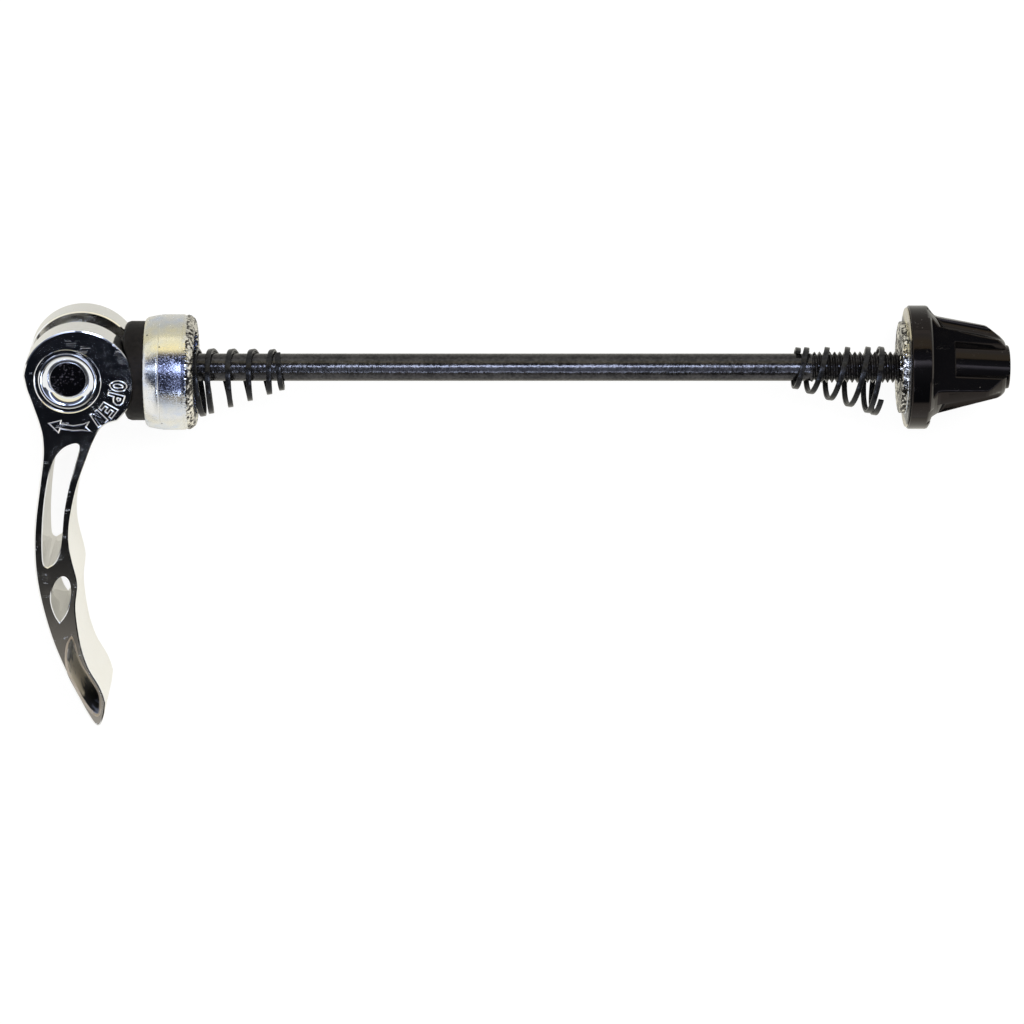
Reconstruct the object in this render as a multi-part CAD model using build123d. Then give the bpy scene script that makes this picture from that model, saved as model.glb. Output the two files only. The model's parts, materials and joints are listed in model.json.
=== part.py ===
from build123d import *
import os
from math import asin, atan, atan2, cos, degrees, hypot, pi, radians, sin

# Quick release skewer for a bicycle's front wheel, in millimetres.
# The rod lies along X, with the lever at the -X end and the nut at the +X end.
# The origin is on the rod's axis, midway between the two serrated clamp faces.
# The lever is closed and lies flat, its blade towards -Y. The whole part is rolled a little about the rod,
# so that the tip of the lever and the rim of the knob touch the same floor.

# Sizes of the whole
CLAMP_GAP = 111.0

# Rod, with a rolled M5 thread at both ends
ROD_RADIUS = 2.175
THREAD_RADIUS = 2.475
THREAD_LENGTH = 20.7
THREAD_ENGAGEMENT = 6.6
ROD_END_INSET = 1.0

# Pivot barrel
BARREL_RADIUS = 4.6
COUNTERSINK_RADIUS = 4.05
COUNTERSINK_FLOOR_RADIUS = 2.9
COUNTERSINK_DEPTH = 1.0

# Lever: an extrusion with a round eccentric head, forked by a slot for the rod
LEVER_WIDTH = 13.5
EAR_THICKNESS = 4.4
CAM_RADIUS = 8.7
CAM_THROW = 1.65
CAM_DROP = 0.25
LEVER_REACH = 59.2
SLOT_RELIEF = 0.6
HEAD_ARC_START = 172.0
HEAD_ARC_END = -47.0

# Saddle between the cam ears and the cup
SADDLE_RADIUS = 7.85
SADDLE_VISIBLE_LENGTH = 3.3
SADDLE_EDGE = 0.8
SADDLE_WEB = 1.45
SADDLE_SLACK = 0.6
SPIGOT_RADIUS = 6.9
SPIGOT_LENGTH = 1.4
TROUGH_RELIEF = 1.0

# Cup
CUP_LENGTH = 7.8
CUP_RADIUS = 9.13
CUP_SHOULDER_RADIUS = 8.45
CUP_SHOULDER_LENGTH = 2.4
CUP_NOSE_LENGTH = 1.6
CUP_FACE_RADIUS = 8.0
CUP_SLACK = 0.85
SPRING_POCKET_DEPTH = 2.0
SPRING_POCKET_ROOM = 1.1
POCKET_FLOOR_GAP = 0.1

# Serrations of both clamp faces
CUP_TEETH = 28
INSERT_TEETH = 22
TOOTH_DEPTH = 0.4
TOOTH_HALF_WIDTH = 0.36
SERRATION_LIP = 0.35

# Conical springs, both alike, with their end turns closed up
WIRE_RADIUS = 0.3
WIRE_SIDES = 6
SPRING_TURNS = 5.75
SPRING_OPEN_TURNS = 3.6
SPRING_END_TURNS = 1.2
SPRING_OPEN_PITCH = 3.2
SPRING_END_PITCH = 1.07
SPRING_LARGE_RADIUS = 5.2
SPRING_SMALL_RADIUS = 2.92
SPRING_STEPS_PER_TURN = 14
CUP_SPRING_START = 283.0
NUT_SPRING_START = 255.0
CUP_SPRING_INSET = 0.6
NUT_SPRING_GAP = 2.45

# Nut: a steel insert in a lobed plastic knob
INSERT_BOSS_RADIUS = 7.2
INSERT_BOSS_HEIGHT = 1.0
INSERT_RIM_RADIUS = 9.45
INSERT_RIM_THICKNESS = 0.3
INSERT_HEX_RADIUS = 4.0
INSERT_HUB_LENGTH = 6.5
KNOB_FLANGE_RADIUS = 9.75
KNOB_FLANGE_WIDTH = 3.3
KNOB_SHOULDER_RADIUS = 8.1
KNOB_SHOULDER_LENGTH = 1.3
KNOB_GRIP_RADIUS = 6.5
KNOB_GRIP_LENGTH = 7.6
KNOB_NOSE_RADIUS = 3.5
KNOB_NOSE_LENGTH = 3.1
KNOB_TIP_RADIUS = 3.2
KNOB_TIP_LENGTH = 0.7
KNOB_LOBES = 3
KNOB_LOBE_ANGLE = 60.0
KNOB_FLAT_DISTANCE = 6.15
KNOB_FLUTE_RADIUS = 1.9
KNOB_FLUTE_DEPTH = 1.4
KNOB_POCKET_WIDTH = 6.6
KNOB_POCKET_DEPTH = 0.45
KNOB_POCKET_ROUND = 5.75
KNOB_POCKET_START = 6.6
KNOB_END_WALL = 1.4

# Clearances
PIVOT_CLEARANCE = 0.05
THREAD_CLEARANCE = 0.05
SEAT_CLEARANCE = 0.03
HANG_CLEARANCE = 0.04
CAM_CLEARANCE = 0.06
POCKET_CLEARANCE = 0.25

# Lever outlines, as chains of arcs: every second point is the middle of an arc.
# A point of the blade is its X from the pivot and its share of the way from the neck to the tip.
# The inner edge faces the wheel and runs from the head to the tip, and the outer edge runs back.
NECK_DROP = 8.0
BLADE_INNER_EDGE = [
    (4.75, 0.0),
    (2.75, 0.079),
    (-0.7, 0.321),
    (-0.2, 0.469),
    (0.3, 0.524),
    (-0.2, 0.583),
    (0.4, 0.7165),
    (2.85, 0.855),
    (3.55, 0.887),
    (3.97, 0.919),
    (3.7, 0.959),
    (3.12, 0.99),
    (2.6, 1.0),
    (2.08, 0.99),
]
BLADE_OUTER_EDGE = [
    (-1.9, 0.834),
    (-4.9, 0.652),
    (-6.4, 0.46),
    (-6.15, 0.306),
    (-5.1, 0.178),
    (-4.42, 0.059),
]
LONG_WINDOW = [
    (1.45, 0.057),
    (-0.3, 0.178),
    (-1.95, 0.371),
    (-2.75, 0.423),
    (-4.3, 0.456),
    (-4.85, 0.45),
    (-5.05, 0.435),
    (-4.85, 0.292),
    (-3.6, 0.148),
    (-2.1, 0.082),
    (0.6, 0.0445),
    (1.35, 0.0465),
    (1.45, 0.057),
]
LENS_WINDOW = [
    (-1.3, 0.496),
    (-0.85, 0.553),
    (-2.86, 0.6455),
    (-4.12, 0.5645),
    (-2.75, 0.498),
    (-2.0, 0.487),
    (-1.3, 0.496),
]
TIP_WINDOW = [
    (-1.1, 0.697),
    (0.5, 0.801),
    (3.05, 0.92),
    (2.95, 0.961),
    (2.15, 0.969),
    (-0.9, 0.86),
    (-2.0, 0.762),
    (-1.75, 0.715),
    (-1.1, 0.697),
]
# Outer edge from the blade up to the round head, about the pivot
HEAD_OUTER_EDGE = [(-4.85, -7.0), (-6.0, -3.0), (-6.7, -0.8)]

# Places along the rod, worked out from the clamp faces
CUP_FACE_X = -CLAMP_GAP / 2
INSERT_FACE_X = CLAMP_GAP / 2
CUP_X = CUP_FACE_X - CUP_LENGTH
TROUGH_X = CUP_X - SADDLE_WEB
PIVOT_X = TROUGH_X - CAM_CLEARANCE - CAM_RADIUS - CAM_THROW
THREAD_START_X = INSERT_FACE_X + THREAD_ENGAGEMENT - THREAD_LENGTH
ROD_END_X = INSERT_FACE_X + THREAD_ENGAGEMENT
RIM_X = INSERT_FACE_X + INSERT_BOSS_HEIGHT
KNOB_X = RIM_X + INSERT_RIM_THICKNESS
KNOB_LENGTH = KNOB_FLANGE_WIDTH + KNOB_SHOULDER_LENGTH + KNOB_GRIP_LENGTH + KNOB_NOSE_LENGTH + KNOB_TIP_LENGTH

# How far the loose cup and saddle hang down on the rod, towards -Y
CUP_DROP = CUP_SLACK - HANG_CLEARANCE
SADDLE_DROP = SADDLE_SLACK - HANG_CLEARANCE
SADDLE_POCKET_RADIUS = SPIGOT_RADIUS + abs(CUP_DROP - SADDLE_DROP) + POCKET_CLEARANCE
SPRING_POCKET_RADIUS = SPRING_LARGE_RADIUS + WIRE_RADIUS + SPRING_POCKET_ROOM

# Roll about the rod that brings the lever's tip down to the floor under the knob's rim
HALF_WIDTH = LEVER_WIDTH / 2
TIP_DISTANCE = hypot(LEVER_REACH, HALF_WIDTH)
REST_ROLL = degrees(asin(KNOB_FLANGE_RADIUS / TIP_DISTANCE) - atan2(HALF_WIDTH, LEVER_REACH))


def turned(profile, x, drop=0.0):
    """A solid of revolution about the rod's axis, from (distance along X, radius) corners."""
    corners = [(x + along, radius) for along, radius in profile]
    face = make_face(Polyline(*corners, close=True))
    return Pos(0, -drop, 0) * revolve(face, Axis.X)


def rod_bore(radius, x_from, x_to, drop=0.0):
    """A round cutter along the rod's axis."""
    length = x_to - x_from
    return Pos((x_from + x_to) / 2, -drop, 0) * Rot(Y=90) * Cylinder(radius, length)


def arc_face(points):
    """A face inside a closed chain of arcs: every second point is the middle of an arc."""
    starts = range(0, len(points) - 2, 2)
    return make_face([ThreePointArc(*points[index:index + 3]) for index in starts])


def cam_lever():
    def on_head(angle):
        return (CAM_THROW + CAM_RADIUS * cos(angle), -CAM_DROP + CAM_RADIUS * sin(angle))

    def on_blade(points):
        return [(x, -NECK_DROP - share * (LEVER_REACH - NECK_DROP)) for x, share in points]

    start = radians(HEAD_ARC_START)
    end = radians(HEAD_ARC_END)
    head = [on_head(start), on_head((start + end) / 2), on_head(end)]
    outline = arc_face(head + on_blade(BLADE_INNER_EDGE + BLADE_OUTER_EDGE) + HEAD_OUTER_EDGE + head[:1])
    outline -= [arc_face(on_blade(window)) for window in (LONG_WINDOW, LENS_WINDOW, TIP_WINDOW)]

    lever = extrude(outline, HALF_WIDTH, both=True)
    bore_radius = BARREL_RADIUS + PIVOT_CLEARANCE
    lever -= Cylinder(bore_radius, LEVER_WIDTH)

    slot_floor = BARREL_RADIUS + SLOT_RELIEF
    slot_height = slot_floor + 2 * CAM_RADIUS
    slot_width = LEVER_WIDTH - 2 * EAR_THICKNESS
    slot_length = 4 * CAM_RADIUS
    lever -= Pos(0, slot_height / 2 - slot_floor, 0) * Box(slot_length, slot_height, slot_width)
    return Pos(PIVOT_X, 0, 0) * lever


def pivot_barrel():
    barrel = Cylinder(BARREL_RADIUS, LEVER_WIDTH)
    depth = COUNTERSINK_DEPTH
    sink = Cone(COUNTERSINK_FLOOR_RADIUS, COUNTERSINK_RADIUS, depth)
    barrel -= Pos(0, 0, HALF_WIDTH - depth / 2) * sink
    barrel -= Pos(0, 0, depth / 2 - HALF_WIDTH) * Rot(X=180) * sink
    hole = rod_bore(THREAD_RADIUS + SEAT_CLEARANCE, -BARREL_RADIUS, BARREL_RADIUS)
    return Pos(PIVOT_X, 0, 0) * (barrel - hole)


def skewer_rod():
    lever_end = PIVOT_X - BARREL_RADIUS + ROD_END_INSET
    thread_end = PIVOT_X + BARREL_RADIUS - ROD_END_INSET
    profile = [
        (lever_end, 0),
        (lever_end, THREAD_RADIUS),
        (thread_end, THREAD_RADIUS),
        (thread_end, ROD_RADIUS),
        (THREAD_START_X, ROD_RADIUS),
        (THREAD_START_X, THREAD_RADIUS),
        (ROD_END_X, THREAD_RADIUS),
        (ROD_END_X, 0),
    ]
    return turned(profile, 0)


def cam_saddle():
    rim_x = CUP_X - SADDLE_VISIBLE_LENGTH
    disc = rod_bore(SADDLE_RADIUS, rim_x, CUP_X, SADDLE_DROP)
    disc = chamfer(disc.edges().group_by(Axis.X)[0], SADDLE_EDGE)
    saddle = disc + rod_bore(SPIGOT_RADIUS, CUP_X, CUP_X + SPIGOT_LENGTH, SADDLE_DROP)
    trough_radius = CAM_RADIUS + TROUGH_RELIEF
    saddle -= Pos(TROUGH_X - trough_radius, -CAM_DROP, 0) * Cylinder(trough_radius, 4 * SADDLE_RADIUS)
    return saddle - rod_bore(ROD_RADIUS + SADDLE_SLACK, rim_x, CUP_X + SPIGOT_LENGTH, SADDLE_DROP)


def serrations(teeth, face_x, outward, inner_radius, outer_radius):
    """V grooves cut radially into a face that looks along X, with a land pointing to +Y."""
    slope = TOOTH_HALF_WIDTH / TOOTH_DEPTH
    rise = TOOTH_DEPTH
    wide = TOOTH_HALF_WIDTH + slope * rise
    corners = [
        (face_x - outward * TOOTH_DEPTH, 0),
        (face_x + outward * rise, wide),
        (face_x + outward * rise, -wide),
    ]
    groove_face = Plane.XZ.offset(-inner_radius) * make_face(Polyline(*corners, close=True))
    groove = extrude(groove_face, outer_radius - inner_radius, dir=(0, 1, 0))
    pitch = 360 / teeth
    return [Rot(X=(index + 0.5) * pitch) * groove for index in range(teeth)]


def clamp_cup():
    band_start = CUP_SHOULDER_LENGTH
    band_end = CUP_LENGTH - CUP_NOSE_LENGTH
    bore_radius = ROD_RADIUS + CUP_SLACK
    pocket_depth = SPIGOT_LENGTH + POCKET_FLOOR_GAP
    outline = [
        (CUP_LENGTH, CUP_FACE_RADIUS),
        (CUP_LENGTH, SPRING_POCKET_RADIUS),
        (CUP_LENGTH - SPRING_POCKET_DEPTH, SPRING_POCKET_RADIUS),
        (CUP_LENGTH - SPRING_POCKET_DEPTH, bore_radius),
        (pocket_depth, bore_radius),
        (pocket_depth, SADDLE_POCKET_RADIUS),
        (0, SADDLE_POCKET_RADIUS),
        (0, CUP_SHOULDER_RADIUS),
        (band_start, CUP_RADIUS),
        (band_end, CUP_RADIUS),
    ]
    cup = turned(outline, CUP_X)
    tooth_start = SPRING_POCKET_RADIUS - SERRATION_LIP
    tooth_end = CUP_FACE_RADIUS - SERRATION_LIP
    cup -= serrations(CUP_TEETH, CUP_FACE_X, 1, tooth_start, tooth_end)
    return Pos(0, -CUP_DROP, 0) * cup


def conical_spring(start_angle, rest_radius):
    """A left handed conical coil along +X, its large end first, its top line resting on a round rod."""
    def coil_point(index):
        turns = SPRING_TURNS * index / steps
        open_turns = min(max(turns - SPRING_END_TURNS, 0), SPRING_OPEN_TURNS)
        along = SPRING_END_PITCH * turns + opening * open_turns
        radius = SPRING_LARGE_RADIUS - taper * along
        angle = radians(start_angle - 360 * turns)
        corner = radius / cos(pi / SPRING_STEPS_PER_TURN)
        return (along, corner * cos(angle), corner * sin(angle))

    opening = SPRING_OPEN_PITCH - SPRING_END_PITCH
    length = SPRING_END_PITCH * SPRING_TURNS + opening * SPRING_OPEN_TURNS
    taper = (SPRING_LARGE_RADIUS - SPRING_SMALL_RADIUS) / length
    steps = round(SPRING_TURNS * SPRING_STEPS_PER_TURN)
    path = Polyline(*[coil_point(index) for index in range(steps + 1)])
    section = Plane(path @ 0, x_dir=(1, 0, 0), z_dir=path % 0) * RegularPolygon(WIRE_RADIUS, WIRE_SIDES)
    coil = sweep(section, path, transition=Transition.RIGHT)
    rest = rest_radius + HANG_CLEARANCE + WIRE_RADIUS
    return Pos(0, rest, 0) * Rot(Z=degrees(atan(taper))) * Pos(0, -SPRING_LARGE_RADIUS, 0) * coil


def cup_spring():
    spring = conical_spring(CUP_SPRING_START, ROD_RADIUS)
    return Pos(CUP_FACE_X - CUP_SPRING_INSET - spring.bounding_box().min.X, 0, 0) * spring


def nut_spring():
    spring = Rot(Y=180) * conical_spring(NUT_SPRING_START, THREAD_RADIUS)
    return Pos(INSERT_FACE_X - NUT_SPRING_GAP - spring.bounding_box().max.X, 0, 0) * spring


def nut_insert():
    hub_end = INSERT_BOSS_HEIGHT + INSERT_RIM_THICKNESS
    profile = [
        (0, 0),
        (0, INSERT_BOSS_RADIUS),
        (INSERT_BOSS_HEIGHT, INSERT_BOSS_RADIUS),
        (INSERT_BOSS_HEIGHT, INSERT_RIM_RADIUS),
        (hub_end, INSERT_RIM_RADIUS),
        (hub_end, 0),
    ]
    insert = turned(profile, INSERT_FACE_X)
    hexagon = Plane.YZ.offset(KNOB_X) * RegularPolygon(INSERT_HEX_RADIUS, 6)
    insert += extrude(hexagon, INSERT_HUB_LENGTH, dir=(1, 0, 0))
    bore_radius = THREAD_RADIUS + THREAD_CLEARANCE
    insert -= rod_bore(bore_radius, INSERT_FACE_X, KNOB_X + INSERT_HUB_LENGTH)
    tooth_start = bore_radius + SERRATION_LIP
    tooth_end = INSERT_BOSS_RADIUS - SERRATION_LIP
    return insert - serrations(INSERT_TEETH, INSERT_FACE_X, -1, tooth_start, tooth_end)


def nut_knob():
    shoulder = KNOB_FLANGE_WIDTH + KNOB_SHOULDER_LENGTH
    grip = shoulder + KNOB_GRIP_LENGTH
    nose = grip + KNOB_NOSE_LENGTH
    profile = [
        (0, 0),
        (0, KNOB_FLANGE_RADIUS),
        (KNOB_FLANGE_WIDTH, KNOB_FLANGE_RADIUS),
        (shoulder, KNOB_SHOULDER_RADIUS),
        (grip, KNOB_GRIP_RADIUS),
        (nose, KNOB_NOSE_RADIUS),
        (nose, KNOB_TIP_RADIUS),
        (KNOB_LENGTH, KNOB_TIP_RADIUS),
        (KNOB_LENGTH, 0),
    ]
    knob = turned(profile, 0)

    # The grip tapers towards the nose, and so do the three flats on its lobes and the flutes between them
    slope = degrees(atan((KNOB_SHOULDER_RADIUS - KNOB_GRIP_RADIUS) / KNOB_GRIP_LENGTH))
    cut_length = KNOB_LENGTH - KNOB_FLANGE_WIDTH
    cut_height = KNOB_FLANGE_RADIUS
    flat_place = Pos(KNOB_FLANGE_WIDTH, KNOB_FLAT_DISTANCE, 0) * Rot(Z=-slope)
    flat_block = Box(cut_length, cut_height, 2 * KNOB_FLANGE_RADIUS)
    flat = flat_place * Pos(cut_length / 2, cut_height / 2, 0) * flat_block

    # Each flat has a pocket with a rounded floor, open towards the nose
    floor_drop = KNOB_POCKET_DEPTH + KNOB_POCKET_ROUND
    pocket = Pos(cut_length / 2, -floor_drop / 2, 0) * Box(cut_length, floor_drop, KNOB_POCKET_WIDTH)
    pocket -= Pos(cut_length / 2, -floor_drop, 0) * Rot(Y=90) * Cylinder(KNOB_POCKET_ROUND, cut_length)
    pocket = flat_place * Pos(KNOB_POCKET_START - KNOB_FLANGE_WIDTH, 0, 0) * pocket

    flute = Pos(cut_length / 2, 0, 0) * Rot(Y=90) * Cylinder(KNOB_FLUTE_RADIUS, cut_length)
    flute_lift = KNOB_FLUTE_RADIUS - KNOB_FLUTE_DEPTH
    flute = Pos(shoulder, KNOB_SHOULDER_RADIUS + flute_lift, 0) * Rot(Z=-slope) * flute
    lobe_pitch = 360 / KNOB_LOBES
    for lobe in range(KNOB_LOBES):
        angle = KNOB_LOBE_ANGLE + lobe * lobe_pitch
        knob -= Rot(X=angle) * flat
        knob -= Rot(X=angle) * pocket
        knob -= Rot(X=angle + lobe_pitch / 2) * flute

    hexagon = Plane.YZ * RegularPolygon(INSERT_HEX_RADIUS + SEAT_CLEARANCE, 6)
    knob -= extrude(hexagon, INSERT_HUB_LENGTH + SEAT_CLEARANCE, dir=(1, 0, 0))
    knob -= rod_bore(THREAD_RADIUS + THREAD_CLEARANCE, 0, KNOB_LENGTH - KNOB_END_WALL)
    return Pos(KNOB_X, 0, 0) * knob


PIECES = {
    "skewer_rod": skewer_rod,
    "pivot_barrel": pivot_barrel,
    "cam_lever": cam_lever,
    "cam_saddle": cam_saddle,
    "clamp_cup": clamp_cup,
    "cup_spring": cup_spring,
    "nut_spring": nut_spring,
    "nut_insert": nut_insert,
    "nut_knob": nut_knob,
}

os.makedirs("parts", exist_ok=True)
for name, make in PIECES.items():
    piece = Rot(X=REST_ROLL) * make()
    export_step(piece, f"parts/{name}.step")
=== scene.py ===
# %% [markdown]
# # A quick release skewer
# This lesson dresses the imported CAD model of a bicycle's front skewer. The CAD solids say where everything
# is and how it moves. Here each solid is replaced by a finer mesh with rounded edges, real threads and a
# finish. The first step loads the frame and keeps the box of the bare CAD model.

# %% Load the frame
import json
import math

import bmesh
import bpy
import numpy as np
from mathutils import Matrix, Vector


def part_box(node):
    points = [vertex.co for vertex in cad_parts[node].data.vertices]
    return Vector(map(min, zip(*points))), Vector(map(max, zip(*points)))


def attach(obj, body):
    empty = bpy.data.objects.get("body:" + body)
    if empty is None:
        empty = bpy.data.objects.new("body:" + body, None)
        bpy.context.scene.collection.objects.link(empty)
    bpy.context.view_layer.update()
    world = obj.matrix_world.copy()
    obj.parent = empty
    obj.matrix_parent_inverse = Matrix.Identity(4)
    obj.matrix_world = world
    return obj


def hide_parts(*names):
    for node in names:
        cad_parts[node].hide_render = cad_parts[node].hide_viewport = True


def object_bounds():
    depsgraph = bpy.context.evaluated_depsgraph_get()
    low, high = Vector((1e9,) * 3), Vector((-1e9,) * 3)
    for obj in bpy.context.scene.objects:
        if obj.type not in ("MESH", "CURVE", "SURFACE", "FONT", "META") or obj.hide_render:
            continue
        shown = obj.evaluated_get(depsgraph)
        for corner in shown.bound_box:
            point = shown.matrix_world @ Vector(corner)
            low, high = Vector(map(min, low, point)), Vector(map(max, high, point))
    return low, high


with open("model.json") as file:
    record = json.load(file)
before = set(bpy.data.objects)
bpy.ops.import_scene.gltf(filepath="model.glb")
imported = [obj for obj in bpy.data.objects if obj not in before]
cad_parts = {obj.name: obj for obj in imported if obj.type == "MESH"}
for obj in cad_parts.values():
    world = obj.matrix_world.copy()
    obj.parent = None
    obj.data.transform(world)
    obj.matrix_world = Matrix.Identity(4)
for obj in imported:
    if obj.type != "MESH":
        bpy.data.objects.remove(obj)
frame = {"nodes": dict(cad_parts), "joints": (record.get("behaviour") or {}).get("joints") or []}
cad_box = [list(corner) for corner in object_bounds()]
bpy.context.scene.view_settings.view_transform = "Standard"
print("CAD nodes:", ", ".join(sorted(frame["nodes"])))

# %% [markdown]
# ## The drawing bench
# The skewer rests on the lever's tip and the knob's rim, so the whole of it is rolled a few degrees about
# the rod. It is easier to draw it unrolled, in millimetres, with the rod on the X axis and the lever flat
# in the XY plane. The pivot joint's axis tells how far to roll each finished mesh, and the nodes' boxes
# tell where things sit.

# %% Measure the bench from the frame
MM = 0.001
joints = {joint["name"]: joint for joint in frame["joints"]}
pivot_axis = joints["lever_pivot"]["axis"]
REST_ROLL = math.atan2(pivot_axis[1], -pivot_axis[2])
PIVOT_X = joints["lever_pivot"]["pos_m"][0] / MM
FROM_BENCH = Matrix.Rotation(REST_ROLL, 4, "X") @ Matrix.Scale(MM, 4)


def span_x(node):
    """Where a CAD node starts and ends along the rod, in millimetres."""
    low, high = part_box(node)
    return low.x / MM, high.x / MM


def round_size(node):
    """The radius of a round CAD node, and how far it hangs below the rod's axis, in millimetres."""
    low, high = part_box(node)
    radius = (high.z - low.z) / 2 / MM
    drop = math.hypot(high.y + low.y, high.z + low.z) / 2 / MM
    return radius, drop


print(f"roll {math.degrees(REST_ROLL):.3f} degrees, pivot at x = {PIVOT_X:.2f} mm")

# %% [markdown]
# ## From points to pieces
# Most parts here are rings of points skinned into a closed surface, as a lathe or a loft would make them. A
# finished piece is turned from the bench into the model's frame inside its mesh, so its object stays at the
# origin. Smooth shading with sharp edges kept by angle gives clean highlights on rounded and machined faces
# alike.

# %% Helpers that skin rings and finish a piece
def circle(around):
    """Angles evenly round a full turn."""
    return np.linspace(0, 2 * math.pi, around, endpoint=False)


def skin(rings, looped=False):
    """A closed mesh over rings of points; a looped skin joins the last ring to the first."""
    rings = np.asarray(rings, float)
    count, around = rings.shape[:2]
    faces = []
    for ring in range(count if looped else count - 1):
        here = ring * around
        after = (ring + 1) % count * around
        for step in range(around):
            beside = (step + 1) % around
            faces.append((here + step, here + beside, after + beside, after + step))
    if not looped:
        faces.append(tuple(range(around)))
        faces.append(tuple(range((count - 1) * around, count * around)))
    mesh = bpy.data.meshes.new("skin")
    mesh.from_pydata(rings.reshape(-1, 3).tolist(), [], faces)
    return mesh


def turned_rings(profile, around, drop=0.0):
    """Rings about the rod's axis from (x, radius) points."""
    return [
        [(x, radius * math.cos(angle) - drop, radius * math.sin(angle)) for angle in circle(around)]
        for x, radius in profile
    ]


def upright_rings(profile, around, x, y=0.0):
    """Rings about a line that stands on the bench at x and y, from (height, radius) points."""
    return [
        [(x + radius * math.cos(angle), y + radius * math.sin(angle), height) for angle in circle(around)]
        for height, radius in profile
    ]


def place_object(name, data):
    """A new object in the scene."""
    item = bpy.data.objects.new(name, data)
    bpy.context.scene.collection.objects.link(item)
    return item


def plain_mesh(item):
    """The mesh that an object's modifiers give, on its own."""
    depsgraph = bpy.context.evaluated_depsgraph_get()
    return bpy.data.meshes.new_from_object(item.evaluated_get(depsgraph))


def make_piece(name, mesh, finish, body, sharp_angle=32.0):
    """Turns a bench mesh into a shaded piece that rides in place of the CAD node of that name."""
    form = bmesh.new()
    form.from_mesh(mesh)
    bmesh.ops.remove_doubles(form, verts=form.verts, dist=0.002)
    bmesh.ops.dissolve_degenerate(form, edges=form.edges, dist=0.001)
    bmesh.ops.recalc_face_normals(form, faces=form.faces)
    form.transform(FROM_BENCH)
    open_edges = sum(1 for edge in form.edges if not edge.is_manifold)
    form.to_mesh(mesh)
    form.free()
    mesh.name = "dressed_" + name
    mesh.materials.clear()
    mesh.materials.append(finish)
    mesh.polygons.foreach_set("use_smooth", [True] * len(mesh.polygons))
    mesh.set_sharp_from_angle(angle=math.radians(sharp_angle))
    piece = place_object("dressed_" + name, mesh)
    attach(piece, body)
    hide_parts(name)
    mesh.calc_loop_triangles()
    print(f"{piece.name}: {len(mesh.loop_triangles)} triangles, {open_edges} open edges")


# %% [markdown]
# ## Node helpers
# Shader and geometry trees are wired by one small function: each input is a plain value or another node's
# output. An output is kept as a Wire, so that arithmetic reads as plain Python and adds the Math nodes by
# itself. Effects that several finishes share are node groups that put out masks and heights, never shaders.

# %% Wire nodes
FLOAT = "NodeSocketFloat"
INTEGER = "NodeSocketInt"
MATERIAL = "NodeSocketMaterial"


def add(tree, kind, inputs=None, **settings):
    """Adds a node and gives its first output; inputs maps socket names or numbers to values or Wires."""
    node = tree.nodes.new(kind)
    for setting, value in settings.items():
        setattr(node, setting, value)
    for key, value in (inputs or {}).items():
        socket = node.inputs[key]
        if isinstance(value, Wire):
            value.into(socket)
        else:
            socket.default_value = (*value, 1.0) if socket.type == "RGBA" else value
    return Wire(node.outputs[0])


class Wire:
    """A node's output. Arithmetic with it adds nodes, and a name in brackets gives another output."""

    def __init__(self, socket):
        self.socket = socket
        self.node = socket.node
        self.tree = socket.id_data

    def __getitem__(self, output):
        return Wire(self.node.outputs[output])

    def into(self, socket):
        """Links this output to a node's input."""
        self.tree.links.new(self.socket, socket)

    def reckon(self, operation, *others, clamp=False):
        """One step of arithmetic."""
        values = dict(enumerate((self, *others)))
        return add(self.tree, "ShaderNodeMath", values, operation=operation, use_clamp=clamp)

    def __add__(self, other):
        return self.reckon("ADD", other)

    def __sub__(self, other):
        return self.reckon("SUBTRACT", other)

    def __rsub__(self, other):
        return add(self.tree, "ShaderNodeMath", {0: other, 1: self}, operation="SUBTRACT")

    def __mul__(self, other):
        return self.reckon("MULTIPLY", other)

    def __truediv__(self, other):
        return self.reckon("DIVIDE", other)

    def least(self, other):
        return self.reckon("MINIMUM", other)

    def most(self, other):
        return self.reckon("MAXIMUM", other)

    def spread(self, low, high, to_low=0.0, to_high=1.0):
        """This value's range mapped to another, smoothly and clamped."""
        values = {0: self, 1: low, 2: high, 3: to_low, 4: to_high}
        return add(self.tree, "ShaderNodeMapRange", values, interpolation_type="SMOOTHSTEP")

    def within(self, start, full, fade, end):
        """1 from full to fade, and falling smoothly to 0 at start and at end."""
        return self.spread(start, full) * self.spread(fade, end, 1.0, 0.0)


def mix(share, first, second):
    """A colour between two, by a share from 0 to 1."""
    return add(share.tree, "ShaderNodeMix", {0: share, 6: first, 7: second}, data_type="RGBA")[2]


def ramp_colours(share, stops):
    """A colour that runs through stops, given as (position from 0 to 1, colour)."""
    ramp = add(share.tree, "ShaderNodeValToRGB", {0: share})
    elements = ramp.node.color_ramp.elements
    for index, (position, tone) in enumerate(stops):
        stop = elements[0] if index == 0 else elements.new(position)
        stop.position = position
        stop.color = (*tone, 1.0)
    return ramp


def new_tree(kind, name, sizes, result, result_type=FLOAT):
    """A node tree with inputs, given as names and socket types, and one output. Gives it and both ends."""
    tree = bpy.data.node_groups.new(name, kind)
    for label, socket_type in sizes.items():
        tree.interface.new_socket(name=label, in_out="INPUT", socket_type=socket_type)
    tree.interface.new_socket(name=result, in_out="OUTPUT", socket_type=result_type)
    size = Wire(tree.nodes.new("NodeGroupInput").outputs[0])
    return tree, size, tree.nodes.new("NodeGroupOutput").inputs[0]


def object_place(tree):
    """Where a point lies on its piece."""
    return add(tree, "ShaderNodeTexCoord")["Object"]


def object_axes(tree):
    """Where a point lies on its piece, split into X, Y and Z."""
    return add(tree, "ShaderNodeSeparateXYZ", {0: object_place(tree)})


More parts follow.
